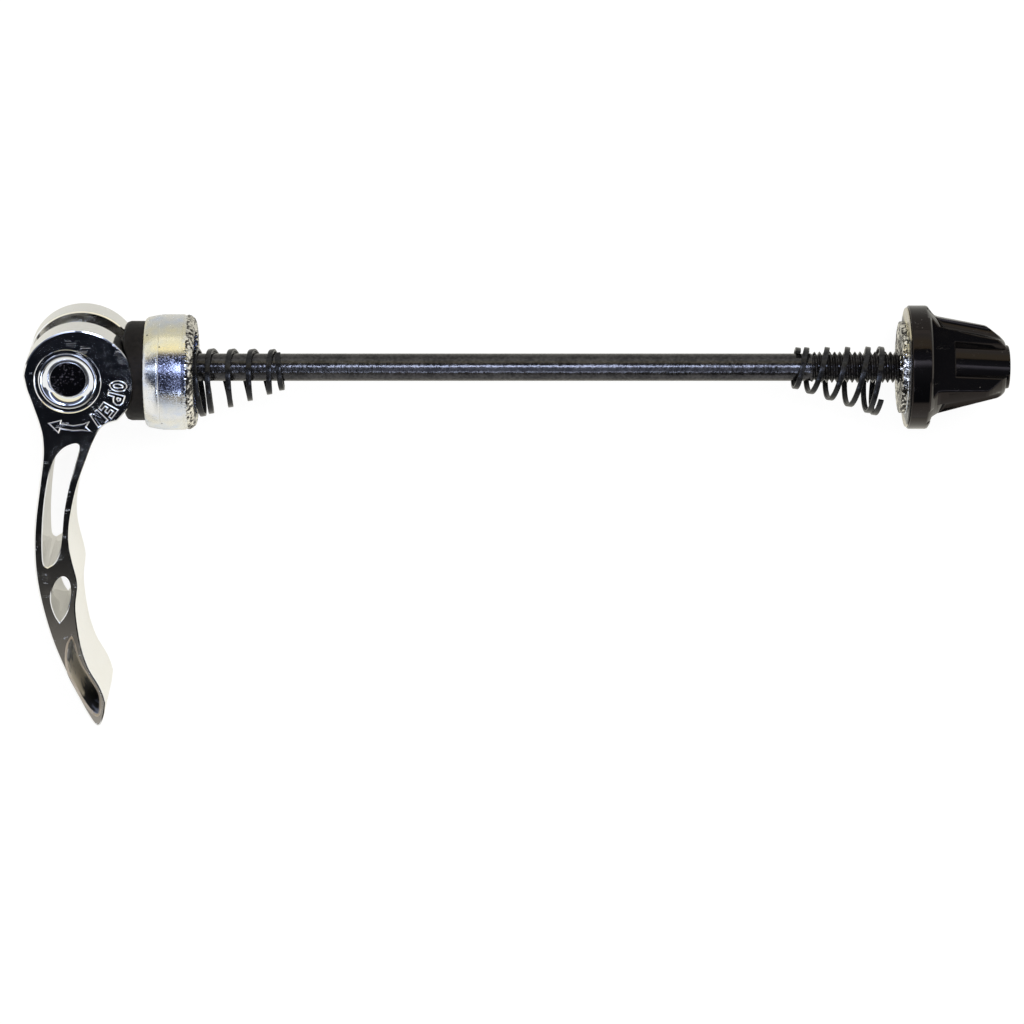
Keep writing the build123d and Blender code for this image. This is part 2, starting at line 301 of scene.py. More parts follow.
def noise(place, scale, detail=2.0):
    """A smooth noise over a place."""
    return add(place.tree, "ShaderNodeTexNoise", {"Vector": place, "Scale": scale, "Detail": detail})


print("node helpers ready")

# %% [markdown]
# ## Shared surface effects
# Three effects appear on several finishes. Pits are scattered dark specks, as in plated or tumbled metal.
# Scratches are short hairlines, made by stretching a noise and keeping only its thin ridges. Grain is the
# fine unevenness of plating, oxide or moulded plastic, in two sizes at once.

# %% Pits, scratches and grain as node groups
def new_group(name, *sizes):
    """A shader node group whose inputs and output are numbers."""
    return new_tree("ShaderNodeTree", name, dict.fromkeys(sizes, FLOAT), "Result")


def effect(tree, group, **values):
    """A shared effect, placed in a finish with its own values."""
    return add(tree, "ShaderNodeGroup", values, node_tree=group)


pits_group, size, mask = new_group("scattered_pits", "Scale", "Share", "Size")
place = object_place(pits_group)
cells = add(pits_group, "ShaderNodeTexVoronoi", {"Vector": place, "Scale": size["Scale"]})
chance = add(pits_group, "ShaderNodeSeparateColor", {0: cells["Color"]})
near = cells["Distance"].reckon("LESS_THAN", size["Size"])
(chance.reckon("LESS_THAN", size["Share"]) * near).into(mask)

STREAK_STRETCH = (1.0, 16.0, 4.0)
scratch_group, size, mask = new_group("hairline_scratches", "Scale", "Turn", "Share")
place = object_place(scratch_group)
heading = add(scratch_group, "ShaderNodeCombineXYZ", {2: size["Turn"]})
along_heading = {"Vector": place, "Rotation": heading, "Scale": STREAK_STRETCH}
turned = add(scratch_group, "ShaderNodeMapping", along_heading)
ridge = (noise(turned, size["Scale"], 1.0) - 0.5).reckon("ABSOLUTE")
kept = noise(place, size["Scale"] * 1.7).reckon("LESS_THAN", size["Share"])
(ridge.spread(0.0, 0.008, 1.0, 0.0) * kept).into(mask)

grain_group, size, height = new_group("two_size_grain", "Scale", "Coarse")
place = object_place(grain_group)
coarse = noise(place, size["Scale"] * 0.17)
(noise(place, size["Scale"]) + coarse * size["Coarse"]).into(height)
print("effects:", ", ".join(group.name for group in (pits_group, scratch_group, grain_group)))

# %% [markdown]
# ## Finishes
# Each finish is a Principled BSDF whose colour, roughness and bump come from the shared effects. Values
# that are the same all over a finish are set straight on the shader's sockets.

# %% Start a finish
def shader_inputs(tree):
    """The sockets of a finish's shader."""
    return tree.nodes["Principled BSDF"].inputs


def new_finish(name, **sockets):
    """A material with plain values set on its Principled BSDF, and its tree."""
    finish = bpy.data.materials.new(name)
    finish.use_nodes = True
    for socket, value in sockets.items():
        shader_inputs(finish.node_tree)[socket.replace("_", " ")].default_value = value
    return finish, finish.node_tree


def dress(tree, colour, roughness, height, bump_mm):
    """Links a colour, a roughness and a bump height to a finish's shader."""
    colour.into(shader_inputs(tree)["Base Color"])
    roughness.into(shader_inputs(tree)["Roughness"])
    bump = add(tree, "ShaderNodeBump", {"Height": height, "Strength": 1.0, "Distance": bump_mm * MM})
    bump.into(shader_inputs(tree)["Normal"])


def face_mark_of(tree):
    """The mark that some faces carry, from 0 to 1."""
    return add(tree, "ShaderNodeAttribute", attribute_name="face_mark")["Fac"]


print("finish helpers ready")

# %% [markdown]
# ### Bright metals
# The lever is extruded aluminium, polished to a mirror and a little scratched. The wheel does not reach
# into the small window at its tip, so that one stays stained: a face attribute tells its rim and its walls
# from the rest. Its walls carry painted reflections, bands of dark, bluish and beige along the blade.
# The barrel in its eye is chromed steel with a granular forged floor in its end. The cup and the nut's
# insert are zinc plated: silvery, with a random bluish bloom, grain and dark specks. A dark bluish band
# across the cup's side and a warm yellowish band at higher Y, on the cup and the insert, are painted
# reflections placed by their Y position. The knob is moulded round the insert, so a skin of its black
# plastic covers the plate outside the insert's boss. At the top and at the bottom the skin is left off,
# and the pale yellowish crescents there are a painted reflection.

# %% Polished alloy of the lever
polished_alloy, tree = new_finish("polished_alloy", Metallic=1.0)
hairlines = effect(tree, scratch_group, Scale=260.0, Turn=0.7, Share=0.36)
cross_lines = effect(tree, scratch_group, Scale=190.0, Turn=2.3, Share=0.33)
specks = effect(tree, pits_group, Scale=900.0, Share=0.05, Size=0.10)
haze = effect(tree, grain_group, Scale=700.0, Coarse=1.0)
worn = hairlines.most(cross_lines).most(specks)
# The tip window's rim is stained. Its walls get painted reflections: bands of dark, bluish and beige by
# their Y position, with uneven edges, on a duller metal.
stained_rim = face_mark_of(tree).spread(0.1, 0.4)
tip_window_wall = face_mark_of(tree).spread(0.6, 0.9)
blotch = effect(tree, grain_group, Scale=420.0, Coarse=0.0)
uneven = object_axes(tree)["Y"] + blotch * (7.0 * MM)
down_wall = add(tree, "ShaderNodeMapRange", {0: uneven, 1: -57.0 * MM, 2: -42.0 * MM})
wall_painted_reflections = ramp_colours(down_wall, [
    (0.0, (0.07, 0.085, 0.12)), (0.12, (0.34, 0.38, 0.50)), (0.22, (0.02, 0.02, 0.025)),
    (0.38, (0.03, 0.028, 0.026)), (0.48, (0.62, 0.55, 0.42)), (0.7, (0.66, 0.60, 0.48)),
    (0.78, (0.025, 0.03, 0.045)), (1.0, (0.05, 0.06, 0.09)),
])
colour = mix(worn, (0.90, 0.895, 0.88), (0.80, 0.80, 0.79))
colour = mix(stained_rim, colour, (0.60, 0.53, 0.44))
colour = mix(tip_window_wall, colour, wall_painted_reflections)
roughness = haze.spread(0.8, 1.3, 0.04, 0.12) + worn * 0.3 + stained_rim * 0.35
tip_window_wall.spread(0.0, 1.0, 1.0, 0.3).into(shader_inputs(tree)["Metallic"])
dress(tree, colour, roughness, worn, 0.004)

# %% Chromed steel of the barrel
chromed_steel, tree = new_finish("chromed_steel", Metallic=1.0)
to_pivot = {0: object_place(tree), 1: (-PIVOT_X * MM, 0.0, 0.0)}
centred = add(tree, "ShaderNodeVectorMath", to_pivot, operation="ADD")
unrolled = add(tree, "ShaderNodeMapping", {"Vector": centred, "Rotation": (-REST_ROLL, 0.0, 0.0)})
split = add(tree, "ShaderNodeSeparateXYZ", {0: unrolled})
distance = (split["X"].reckon("POWER", 2.0) + split["Y"].reckon("POWER", 2.0)).reckon("SQRT")
on_floor = distance.spread(2.75 * MM, 2.95 * MM, 1.0, 0.0)
grit = effect(tree, grain_group, Scale=2600.0, Coarse=0.6)
dark_grit = mix(grit.spread(0.86, 1.08), (0.004, 0.004, 0.005), (0.11, 0.10, 0.11))
colour = mix(on_floor, (0.86, 0.87, 0.88), dark_grit)
dress(tree, colour, on_floor * 0.45 + 0.06, grit * on_floor, 0.10)

# %% Zinc plate of the cup and the insert
CUP_SHOULDER = 2.4
zinc_plate, tree = new_finish("zinc_plate", Metallic=1.0)
bloom = effect(tree, grain_group, Scale=520.0, Coarse=1.2)
grain = effect(tree, grain_group, Scale=4200.0, Coarse=0.4)
mottling = effect(tree, grain_group, Scale=1900.0, Coarse=0.5)
specks = effect(tree, pits_group, Scale=1500.0, Share=0.13, Size=0.2)
split = object_axes(tree)
seam_x = (span_x("clamp_cup")[0] + CUP_SHOULDER) * MM
on_band = split["X"].within(seam_x, seam_x + 0.1 * MM, -40 * MM, -39 * MM)
# Painted reflection: a dark bluish speckled band across the cup's band, placed by its Y position.
painted_dark_band = split["Y"].within(-1.8 * MM, -0.8 * MM, 4.4 * MM, 5.2 * MM) * on_band
painted_dark_reflection = mix(grain.spread(0.55, 0.95), (0.08, 0.085, 0.15), (0.42, 0.44, 0.60))
# Painted reflection: a warm yellowish band at higher Y on the cup and the insert, placed by its Y position
# and broken up by the bloom noise.
painted_warm_reflection = split["Y"].within(4.0 * MM, 5.2 * MM, 7.2 * MM, 8.2 * MM) * bloom.spread(0.7, 1.2, 0.45, 0.95)
pressed_tone = mix(mottling.spread(0.66, 0.84), (0.035, 0.032, 0.03), (0.86, 0.83, 0.74))
colour = mix(bloom.spread(0.85, 1.35), (0.66, 0.72, 0.84), (0.82, 0.81, 0.77))
colour = mix(painted_dark_band * 0.85, colour, painted_dark_reflection)
colour = mix(painted_warm_reflection, colour, (0.93, 0.86, 0.60))
colour = mix(specks, colour, (0.05, 0.05, 0.06))
colour = mix(face_mark_of(tree), colour, pressed_tone)
dress(tree, colour, grain.spread(0.45, 0.95, 0.10, 0.32), grain, 0.014)

# %% The insert's zinc, covered with plastic beyond its boss
covered_zinc = zinc_plate.copy()
covered_zinc.name = "covered_zinc"
tree = covered_zinc.node_tree
sockets = shader_inputs(tree)
across_rod = {0: object_place(tree), 1: (0.0, 1.0, 1.0)}
from_rod = add(tree, "ShaderNodeVectorMath", across_rod, operation="MULTIPLY")
distance = add(tree, "ShaderNodeVectorMath", {0: from_rod}, operation="LENGTH")["Value"]
up = object_axes(tree)["Y"]
# Painted reflection: at the top and the bottom the plastic skin is left off, and pale yellowish crescents
# show there.
painted_glare_crescents = up.spread(6.2 * MM, 7.2 * MM).most(up.spread(-8.2 * MM, -7.4 * MM, 1.0, 0.0))
beyond_boss = distance.spread(7.35 * MM, 7.45 * MM)
cover = beyond_boss.reckon("SUBTRACT", painted_glare_crescents, clamp=True)
zinc_and_painted_reflection = Wire(sockets["Base Color"].links[0].from_socket)
# The yellowish tone beyond the boss only shows in the painted crescents.
zinc_and_painted_reflection = mix(beyond_boss * 0.7, zinc_and_painted_reflection, (0.60, 0.52, 0.36))
mix(cover, zinc_and_painted_reflection, (0.012, 0.010, 0.009)).into(sockets["Base Color"])
(1.0 - cover).into(sockets["Metallic"])
print("bright metals:", polished_alloy.name, chromed_steel.name, zinc_plate.name, covered_zinc.name)

# %% [markdown]
# ### Dark metals and plastics
# The rod and its springs are steel under black oxide, which keeps a soft sheen over a fine grit. The saddle
# is matte moulded plastic. The knob is glossy black plastic with faint handling marks.

# %% Black oxide, spring wire and the two plastics
black_oxide, tree = new_finish("black_oxide", Metallic=0.85)
grit = effect(tree, grain_group, Scale=2100.0, Coarse=0.7)
colour = mix(grit.spread(0.6, 1.1), (0.034, 0.033, 0.034), (0.076, 0.073, 0.073))
dress(tree, colour, grit.spread(0.6, 1.1, 0.10, 0.20), grit, 0.034)

spring_wire, tree = new_finish("spring_wire", Metallic=0.15, Specular_IOR_Level=0.25)
grit = effect(tree, grain_group, Scale=2400.0, Coarse=0.8)
colour = mix(grit.spread(0.7, 1.2), (0.006, 0.006, 0.007), (0.018, 0.018, 0.019))
dress(tree, colour, grit.spread(0.6, 1.2, 0.16, 0.28), grit, 0.004)

matte_plastic, tree = new_finish("matte_plastic", Specular_IOR_Level=0.12)
grit = effect(tree, grain_group, Scale=1700.0, Coarse=0.9)
colour = mix(grit.spread(0.6, 1.3), (0.004, 0.0035, 0.0033), (0.012, 0.010, 0.009))
dress(tree, colour, grit.spread(0.6, 1.3, 0.42, 0.62), grit, 0.03)

WARM_GLOSS = (1.0, 0.8, 0.68, 1.0)
gloss_plastic, tree = new_finish("gloss_plastic", Specular_IOR_Level=0.28, Specular_Tint=WARM_GLOSS)
haze = effect(tree, grain_group, Scale=520.0, Coarse=1.0)
marks = effect(tree, scratch_group, Scale=230.0, Turn=1.1, Share=0.37)
dust = effect(tree, pits_group, Scale=1300.0, Share=0.05, Size=0.14)
worn = marks.most(dust)
colour = mix(worn, (0.002, 0.002, 0.0024), (0.035, 0.033, 0.031))
dress(tree, colour, haze.spread(0.8, 1.3, 0.07, 0.14) + worn * 0.3, haze, 0.006)
print("dark finishes:", black_oxide.name, spring_wire.name, matte_plastic.name, gloss_plastic.name)

# %% [markdown]
# ## Growing a shape with Geometry Nodes
# The rod's thread and the springs follow rules, so geometry trees make them from a few named sizes. A tree
# works on an empty holder object. Its result is copied out as a plain mesh and the holder is thrown away.

# %% Build and run geometry trees
def new_form(name, lengths, counts):
    """A geometry tree with named lengths, counts and a finish as its inputs."""
    sizes = dict.fromkeys(lengths, FLOAT) | dict.fromkeys(counts, INTEGER) | {"Finish": MATERIAL}
    return new_tree("GeometryNodeTree", name, sizes, "Geometry", "NodeSocketGeometry")


def coat(geometry, finish, output):
    """Ends a geometry tree: its instances are made real and its material is set."""
    whole = add(geometry.tree, "GeometryNodeRealizeInstances", {"Geometry": geometry})
    add(geometry.tree, "GeometryNodeSetMaterial", {"Geometry": whole, "Material": finish}).into(output)


def grow(tree, sizes):
    """Runs a geometry tree with these input values and returns a plain mesh."""
    holder = place_object("holder", bpy.data.meshes.new("holder"))
    modifier = holder.modifiers.new("grow", "NODES")
    modifier.node_group = tree
    for item in tree.interface.items_tree:
        if item.in_out == "INPUT":
            modifier[item.identifier] = sizes[item.name]
    mesh = plain_mesh(holder)
    bpy.data.objects.remove(holder)
    return mesh


print("geometry helpers ready")

# %% [markdown]
# ## The rod
# The rod is drawn steel with a thread rolled at the nut end. Rolling pushes metal outwards, so the crests
# stand proud of the plain shank and the roots lie below it. A grid is bent round the rod: its rows are far
# apart along the shank and close together along the thread, and the radius rises and falls as the thread
# winds on. A boolean cut would be slower and leave a seam, and a bump would vanish at the rod's edge.

# %% A tree for a rod with a rolled thread
rod_tree, size, output = new_form(
    "rolled_rod",
    ("Shank Length", "Thread Length", "Shank Radius", "Crest Radius", "Root Radius", "Pitch"),
    ("Shank Rows", "Thread Rows", "Around"),
)
rows = size["Shank Rows"] + size["Thread Rows"] + 1.0
sheet = add(rod_tree, "GeometryNodeMeshGrid", {
    "Size X": 1.0, "Size Y": 1.0, "Vertices X": rows, "Vertices Y": size["Around"] + 1.0,
})
here = add(rod_tree, "ShaderNodeSeparateXYZ", {0: add(rod_tree, "GeometryNodeInputPosition")})
row = ((here["X"] + 0.5) * (rows - 1.0)).reckon("ROUND")
turn = here["Y"] + 0.5
into_thread = (row - size["Shank Rows"]).most(0.0) * (size["Thread Length"] / size["Thread Rows"])
along = row.least(size["Shank Rows"]) * (size["Shank Length"] / size["Shank Rows"]) + into_thread
phase = (into_thread / size["Pitch"] - turn).reckon("FRACT")
flank = (phase * 2.0 - 1.0).reckon("ABSOLUTE")
flank = (flank * 1.3 - 0.15).most(0.0).least(1.0)
threaded = flank * (size["Crest Radius"] - size["Root Radius"]) + size["Root Radius"]
run_in = (into_thread / size["Pitch"]).least(1.0)
radius = (threaded - size["Shank Radius"]) * run_in + size["Shank Radius"]
angle = turn * (2 * math.pi)
bent = add(rod_tree, "ShaderNodeCombineXYZ", {
    0: along, 1: radius * angle.reckon("COSINE"), 2: radius * angle.reckon("SINE"),
})
rolled = add(rod_tree, "GeometryNodeSetPosition", {"Geometry": sheet, "Position": bent})
coat(rolled, size["Finish"], output)
print("rod tree of", len(rod_tree.nodes), "nodes")

# %% Grow the rod
SHANK_RADIUS = 2.175
THREAD_CREST = 2.475
THREAD_ROOT = 1.97
THREAD_PITCH = 0.8
THREAD_LENGTH = 20.7
rod_start, rod_end = span_x("skewer_rod")
rod_mesh = grow(rod_tree, {
    "Shank Length": rod_end - rod_start - THREAD_LENGTH, "Shank Rows": 24,
    "Thread Length": THREAD_LENGTH, "Thread Rows": 330, "Around": 44,
    "Shank Radius": SHANK_RADIUS, "Crest Radius": THREAD_CREST, "Root Radius": THREAD_ROOT,
    "Pitch": THREAD_PITCH, "Finish": black_oxide,
})
rod_form = bmesh.new()
rod_form.from_mesh(rod_mesh)
bmesh.ops.remove_doubles(rod_form, verts=rod_form.verts, dist=0.001)
bmesh.ops.holes_fill(rod_form, edges=[edge for edge in rod_form.edges if edge.is_boundary])
rod_form.transform(Matrix.Translation((rod_start, 0, 0)))
rod_form.to_mesh(rod_mesh)
rod_form.free()
make_piece("skewer_rod", rod_mesh, black_oxide, "axle", sharp_angle=40.0)

# %% [markdown]
# ## The springs
# Two conical springs of black flat wire centre the skewer in the hub. Both are wound left handed, with
# their end turns closed up. They hang on the rod, so their top lines are level and the wide coils droop
# below. A straight line is bent into the coil by its own length, and a flat section with rounded edges is
# swept along it. The line's normals point away from the axis, which keeps the flat of the wire facing
# outwards.

# %% A tree for a conical coil
coil_tree, size, output = new_form(
    "conical_coil",
    ("Turns", "End Turns", "Open Turns", "End Pitch", "Open Pitch", "Large Radius", "Taper", "Start Angle",
     "Wire Width", "Wire Thickness", "Wire Rounding"),
    ("Steps",),
)
line = add(coil_tree, "GeometryNodeCurvePrimitiveLine", {"End": (1.0, 0.0, 0.0)})
beads = add(coil_tree, "GeometryNodeResampleCurve", {"Curve": line, "Count": size["Steps"]})
turns = add(coil_tree, "GeometryNodeSplineParameter")["Factor"] * size["Turns"]
opened = (turns - size["End Turns"]).most(0.0).least(size["Open Turns"])
along = opened * (size["Open Pitch"] - size["End Pitch"]) + turns * size["End Pitch"]
radius = size["Large Radius"] - along * size["Taper"]
angle = size["Start Angle"] - turns * (2 * math.pi)
side, up = angle.reckon("COSINE"), angle.reckon("SINE")
coiled = add(coil_tree, "ShaderNodeCombineXYZ", {0: along, 1: radius * side, 2: radius * up})
faced = add(coil_tree, "GeometryNodeCaptureAttribute", {"Geometry": beads})
faced.node.capture_items.new("VECTOR", "Away")
add(coil_tree, "ShaderNodeCombineXYZ", {1: side, 2: up}).into(faced.node.inputs["Away"])
path = add(coil_tree, "GeometryNodeSetPosition", {"Geometry": faced["Geometry"], "Position": coiled})
lie = {"Curve": path, "Normal": faced["Away"]}
turned_out = add(coil_tree, "GeometryNodeSetCurveNormal", lie, mode="FREE")
flat = add(coil_tree, "GeometryNodeCurvePrimitiveQuadrilateral", {
    "Width": size["Wire Thickness"], "Height": size["Wire Width"],
})
rounding = {"Curve": flat, "Count": 3, "Radius": size["Wire Rounding"]}
section = add(coil_tree, "GeometryNodeFilletCurve", rounding, mode="POLY")
swept = add(coil_tree, "GeometryNodeCurveToMesh", {0: turned_out, 1: section, "Fill Caps": True})
coat(swept, size["Finish"], output)
print("coil tree of", len(coil_tree.nodes), "nodes")

# %% Grow and hang both springs
WIRE_SIZE = (0.85, 0.42)
SPRING_TURNS = 5.75
SPRING_END_TURNS = 1.2
SPRING_OPEN_TURNS = 3.6
SPRING_OPEN_PITCH = 3.2
SPRING_END_PITCH = 1.07
SPRING_LARGE_RADIUS = 5.3
SPRING_SMALL_RADIUS = 3.02
HANG_GAP = 0.44


def hang_spring(name, body, rests_on_radius, start_angle, faces_nut):
    """Grows a spring, leans it so that its top line lies on the rod, and slides it to its CAD place."""
    length = SPRING_END_PITCH * SPRING_TURNS + (SPRING_OPEN_PITCH - SPRING_END_PITCH) * SPRING_OPEN_TURNS
    taper = (SPRING_LARGE_RADIUS - SPRING_SMALL_RADIUS) / length
    mesh = grow(coil_tree, {
        "Turns": SPRING_TURNS, "End Turns": SPRING_END_TURNS, "Open Turns": SPRING_OPEN_TURNS,
        "End Pitch": SPRING_END_PITCH, "Open Pitch": SPRING_OPEN_PITCH, "Large Radius": SPRING_LARGE_RADIUS,
        "Taper": taper, "Start Angle": math.radians(start_angle), "Wire Width": WIRE_SIZE[0],
        "Wire Thickness": WIRE_SIZE[1], "Wire Rounding": 0.1, "Steps": 300, "Finish": spring_wire,
    })
    mesh.transform(Matrix.Translation((0, -SPRING_LARGE_RADIUS, 0)))
    mesh.transform(Matrix.Rotation(math.atan(taper), 4, "Z"))
    mesh.transform(Matrix.Translation((0, rests_on_radius + HANG_GAP, 0)))
    if faces_nut:
        mesh.transform(Matrix.Rotation(math.pi, 4, "Y"))
    places = [vertex.co.x for vertex in mesh.vertices]
    slide = (sum(span_x(name)) - min(places) - max(places)) / 2
    mesh.transform(Matrix.Translation((slide, 0, 0)))
    make_piece(name, mesh, spring_wire, body, sharp_angle=50.0)


hang_spring("cup_spring", "clamp_head", SHANK_RADIUS, start_angle=283.0, faces_nut=False)
hang_spring("nut_spring", "nut_carriage", THREAD_CREST, start_angle=255.0, faces_nut=True)

# %% [markdown]
# ## The lever
# The lever is cut from a curved extrusion. Its round head is an off-centre cam, forked by a slot for the
# rod, and the blade has three windows. Every rim carries a small bevel, which is what draws the bright
# lines round a polished part. The outline is a smooth curve through a few measured points. Each loop is
# lofted from face to face with its bevels, and flat caps are filled between the loops. Doing it by hand
# keeps the bevels even where a boolean would not.

# %% Smooth curves through a few points
def smooth_run(points, steps=7):
    """Points on a smooth curve through the given points, from the first to the last."""
    given = [Vector(point) for point in points]
    given = [given[0] * 2 - given[1]] + given + [given[-1] * 2 - given[-2]]
    run = []
    for index in range(1, len(given) - 2):
        before, start, end, after = given[index - 1:index + 3]
        for step in range(steps):
            t = step / steps
            lead = (end - before) / 2
            tail = (after - start) / 2
            share = 3 * t * t - 2 * t ** 3
            bend = lead * (t ** 3 - 2 * t * t + t) + tail * (t ** 3 - t * t)
            run.append(tuple(start * (1 - share) + end * share + bend))
    return run + [tuple(given[-2])]


def smooth_loop(points):
    """A closed smooth curve with a corner at its first point."""
    return smooth_run(list(points) + [points[0]])[:-1]


def wound(loop, anticlockwise):
    """The loop, turned round if it runs the wrong way."""
    area = sum(a[0] * b[1] - b[0] * a[1] for a, b in zip(loop, loop[1:] + loop[:1]))
    return loop if (area > 0) == anticlockwise else loop[::-1]


def inset(loop, distance):
    """The loop moved to its left by a distance, which may differ from point to point."""
    count = len(loop)
    distances = distance if isinstance(distance, list) else [distance] * count
    moved = []
    for index, here in enumerate(loop):
        before = Vector(here) - Vector(loop[index - 1])
        after = Vector(loop[(index + 1) % count]) - Vector(here)
        left_before = Vector((-before.y, before.x)).normalized()
        left_after = Vector((-after.y, after.x)).normalized()
        left = (left_before + left_after).normalized()
        stretch = 1 / max(0.5, left.dot(left_after))
        moved.append(tuple(Vector(here) + left * distances[index] * stretch))
    return moved


# %% The lever's outline and windows, about the pivot
HALF_WIDTH = 6.75
CAM_RADIUS = 8.7
CAM_CENTRE = (1.65, -0.25)
HEAD_ARC = (-47.0, 172.0)
HEAD_POINTS = 73
SLOT_HALF = 2.35
SLOT_FLOOR = -5.2
OUTER_EDGE = [
    (-6.6, -1.2), (-6.05, -3.0), (-5.45, -5.0), (-4.88, -7.0), (-4.46, -9.2), (-4.46, -12.4),
    (-5.1, -16.9), (-6.07, -23.2), (-6.45, -28.0), (-6.36, -32.8), (-5.6, -38.3), (-4.1, -44.5),
    (-1.9, -50.6), (0.2, -55.5), (1.45, -57.95), (2.05, -58.85), (2.6, -59.16), (3.12, -58.75),
    (3.68, -57.1), (3.97, -55.05),
]
INNER_EDGE = [
    (3.97, -55.05), (3.55, -53.4), (2.86, -51.7), (1.48, -49.0), (0.5, -45.6), (-0.02, -41.8),
    (-0.2, -38.4), (0.12, -35.8), (0.25, -34.5), (0.05, -32.8), (-0.5, -30.2), (-0.85, -27.6),
    (-0.75, -24.6), (-0.1, -21.0), (0.9, -17.2), (2.35, -13.3), (3.4, -10.6), (4.6, -8.3),
    (5.9, -7.15),
]
LONG_WINDOW = [
    (-4.4, -31.5), (-4.92, -31.1), (-5.12, -29.9), (-5.05, -26.5), (-4.72, -22.6), (-4.2, -18.9),
    (-3.35, -15.0), (-2.45, -12.7), (-1.1, -11.15), (0.45, -10.42), (1.25, -10.5), (1.45, -11.2),
    (0.7, -14.0), (-0.35, -17.4), (-1.35, -21.9), (-1.85, -26.0), (-2.3, -28.6), (-3.2, -30.6),
]
LENS_WINDOW = [
    (-2.86, -41.0), (-3.45, -39.95), (-3.95, -38.4), (-4.13, -36.9), (-3.92, -35.5), (-3.4, -34.2),
    (-2.7, -33.3), (-1.95, -33.0), (-1.3, -33.4), (-0.92, -34.3), (-0.83, -35.7), (-1.02, -37.1),
    (-1.5, -38.8), (-2.1, -40.0),
]
TIP_WINDOW = [
    (-1.1, -43.95), (-0.8, -44.9), (-0.62, -45.9), (-0.25, -47.3), (0.4, -49.0), (1.38, -50.8),
    (2.35, -52.6), (2.86, -54.0), (2.9, -55.6), (2.62, -57.1), (1.8, -56.6), (0.6, -54.8),
    (-0.55, -52.4), (-1.5, -50.2), (-1.88, -48.4), (-1.92, -46.8), (-1.6, -44.9),
]
head_arc = [
    (CAM_CENTRE[0] + CAM_RADIUS * math.cos(angle), CAM_CENTRE[1] + CAM_RADIUS * math.sin(angle))
    for angle in np.radians(np.linspace(*HEAD_ARC, HEAD_POINTS))
]
outer_run = smooth_run([head_arc[-1]] + OUTER_EDGE)[1:-1]
inner_run = smooth_run(INNER_EDGE + [head_arc[0]])[:-1]
outline = wound(head_arc + outer_run + inner_run, True)
windows = [wound(smooth_loop(window), False) for window in (LONG_WINDOW, LENS_WINDOW, TIP_WINDOW)]
print(f"lever outline of {len(outline)} points, windows of", [len(window) for window in windows])

# %% [markdown]
# ### Marks on the lever's face
# An engraved arrow and the plain word OPEN tell the rider which way the lever swings, as ON and OFF do on a
# switch. The strokes are simple shapes of our own, laid round the pivot. A thin V groove runs round each,
# so that whichever way the light comes, one wall of the groove catches it.

# %% Shapes of the engraved marks
def ellipse(half_width, half_height, count=20):
    """A closed ellipse about the origin."""
    return [(half_width * math.cos(angle), half_height * math.sin(angle)) for angle in circle(count)]


LETTERS = [
    [ellipse(0.86, 1.32), ellipse(0.32, 0.76)],
    [
        [(-0.8, -1.3), (-0.24, -1.3), (-0.24, -0.3), (0.2, -0.3), (0.7, -0.02), (0.88, 0.5), (0.7, 1.02),
         (0.2, 1.3), (-0.8, 1.3)],
        [(-0.24, 0.24), (0.08, 0.24), (0.3, 0.5), (0.08, 0.76), (-0.24, 0.76)],
    ],
    [[(-0.8, -1.3), (0.8, -1.3), (0.8, -0.78), (-0.26, -0.78), (-0.26, -0.26), (0.55, -0.26), (0.55, 0.26),
      (-0.26, 0.26), (-0.26, 0.78), (0.8, 0.78), (0.8, 1.3), (-0.8, 1.3)]],
    [[(-0.85, -1.2), (-0.38, -1.2), (-0.38, 0.25), (0.34, -1.2), (0.85, -1.2), (0.85, 1.2), (0.38, 1.2),
      (0.38, -0.25), (-0.34, 1.2), (-0.85, 1.2)]],
]
LETTER_ANGLES = (-5.5, -21.0, -37.0, -53.0)
LETTER_RADII = (7.95, 7.95, 7.85, 7.65)
ARROW = [
    (-3.2, -7.0), (-1.25, -6.5), (-1.4, -7.08), (0.6, -7.4), (2.2, -7.15), (3.1, -6.75), (2.6, -7.55),
    (3.3, -8.3), (2.0, -8.12), (0.5, -8.2), (-1.45, -7.82), (-1.75, -8.55),
]


def laid_round(loop, angle, radius):
    """A letter's loop set on a ring about the pivot, its top outwards, reading clockwise."""
    bent = []
    for x, y in loop:
        turned = angle - x / radius
        bent.append(((radius + y) * math.cos(turned), (radius + y) * math.sin(turned)))
    return bent


marks = [[wound(list(ARROW), True)]]
for letter, degrees, radius in zip(LETTERS, LETTER_ANGLES, LETTER_RADII):
    loops = [laid_round(loop, math.radians(degrees), radius) for loop in letter]
    marks.append([wound(loop, index == 0) for index, loop in enumerate(loops)])
print("engraved marks:", len(marks))

# %% Loops, strips and caps
def add_loop(form, loop, height):
    """Vertices of a loop at a height."""
    return [form.verts.new((PIVOT_X + x, y, height)) for x, y in loop]


def loft(form, loops, closed=True):
    """Strips of faces from loop to loop, all of equal length; equal neighbours give a triangle."""
    faces = []
    for first, second in zip(loops, loops[1:]):
        for index in range(0 if closed else 1, len(first)):
            corners = [first[index - 1], first[index], second[index], second[index - 1]]
            faces.append(form.faces.new(list(dict.fromkeys(corners))))
    return faces


def loop_edges(form, loop):
    """The edges round a closed loop of vertices, made where they are missing."""
    edges = []
    for first, second in zip(loop, loop[1:] + loop[:1]):
        edges.append(form.edges.get((first, second)) or form.edges.new((first, second)))
    return edges


def fill_flat(form, loops):
    """A flat cap between loops of vertices."""
    edges = [edge for loop in loops for edge in loop_edges(form, loop)]
    bmesh.ops.triangle_fill(form, use_beauty=True, edges=edges, normal=(0, 0, 1))


def crossing(loop, level):
    """The loop with a point added wherever it crosses a level of Y."""
    crossed = []
    for here, after in zip(loop, loop[1:] + loop[:1]):
        crossed.append(here)
        if (here[1] - level) * (after[1] - level) < 0:
            share = (level - here[1]) / (after[1] - here[1])
            crossed.append((here[0] + (after[0] - here[0]) * share, level))
    return crossed


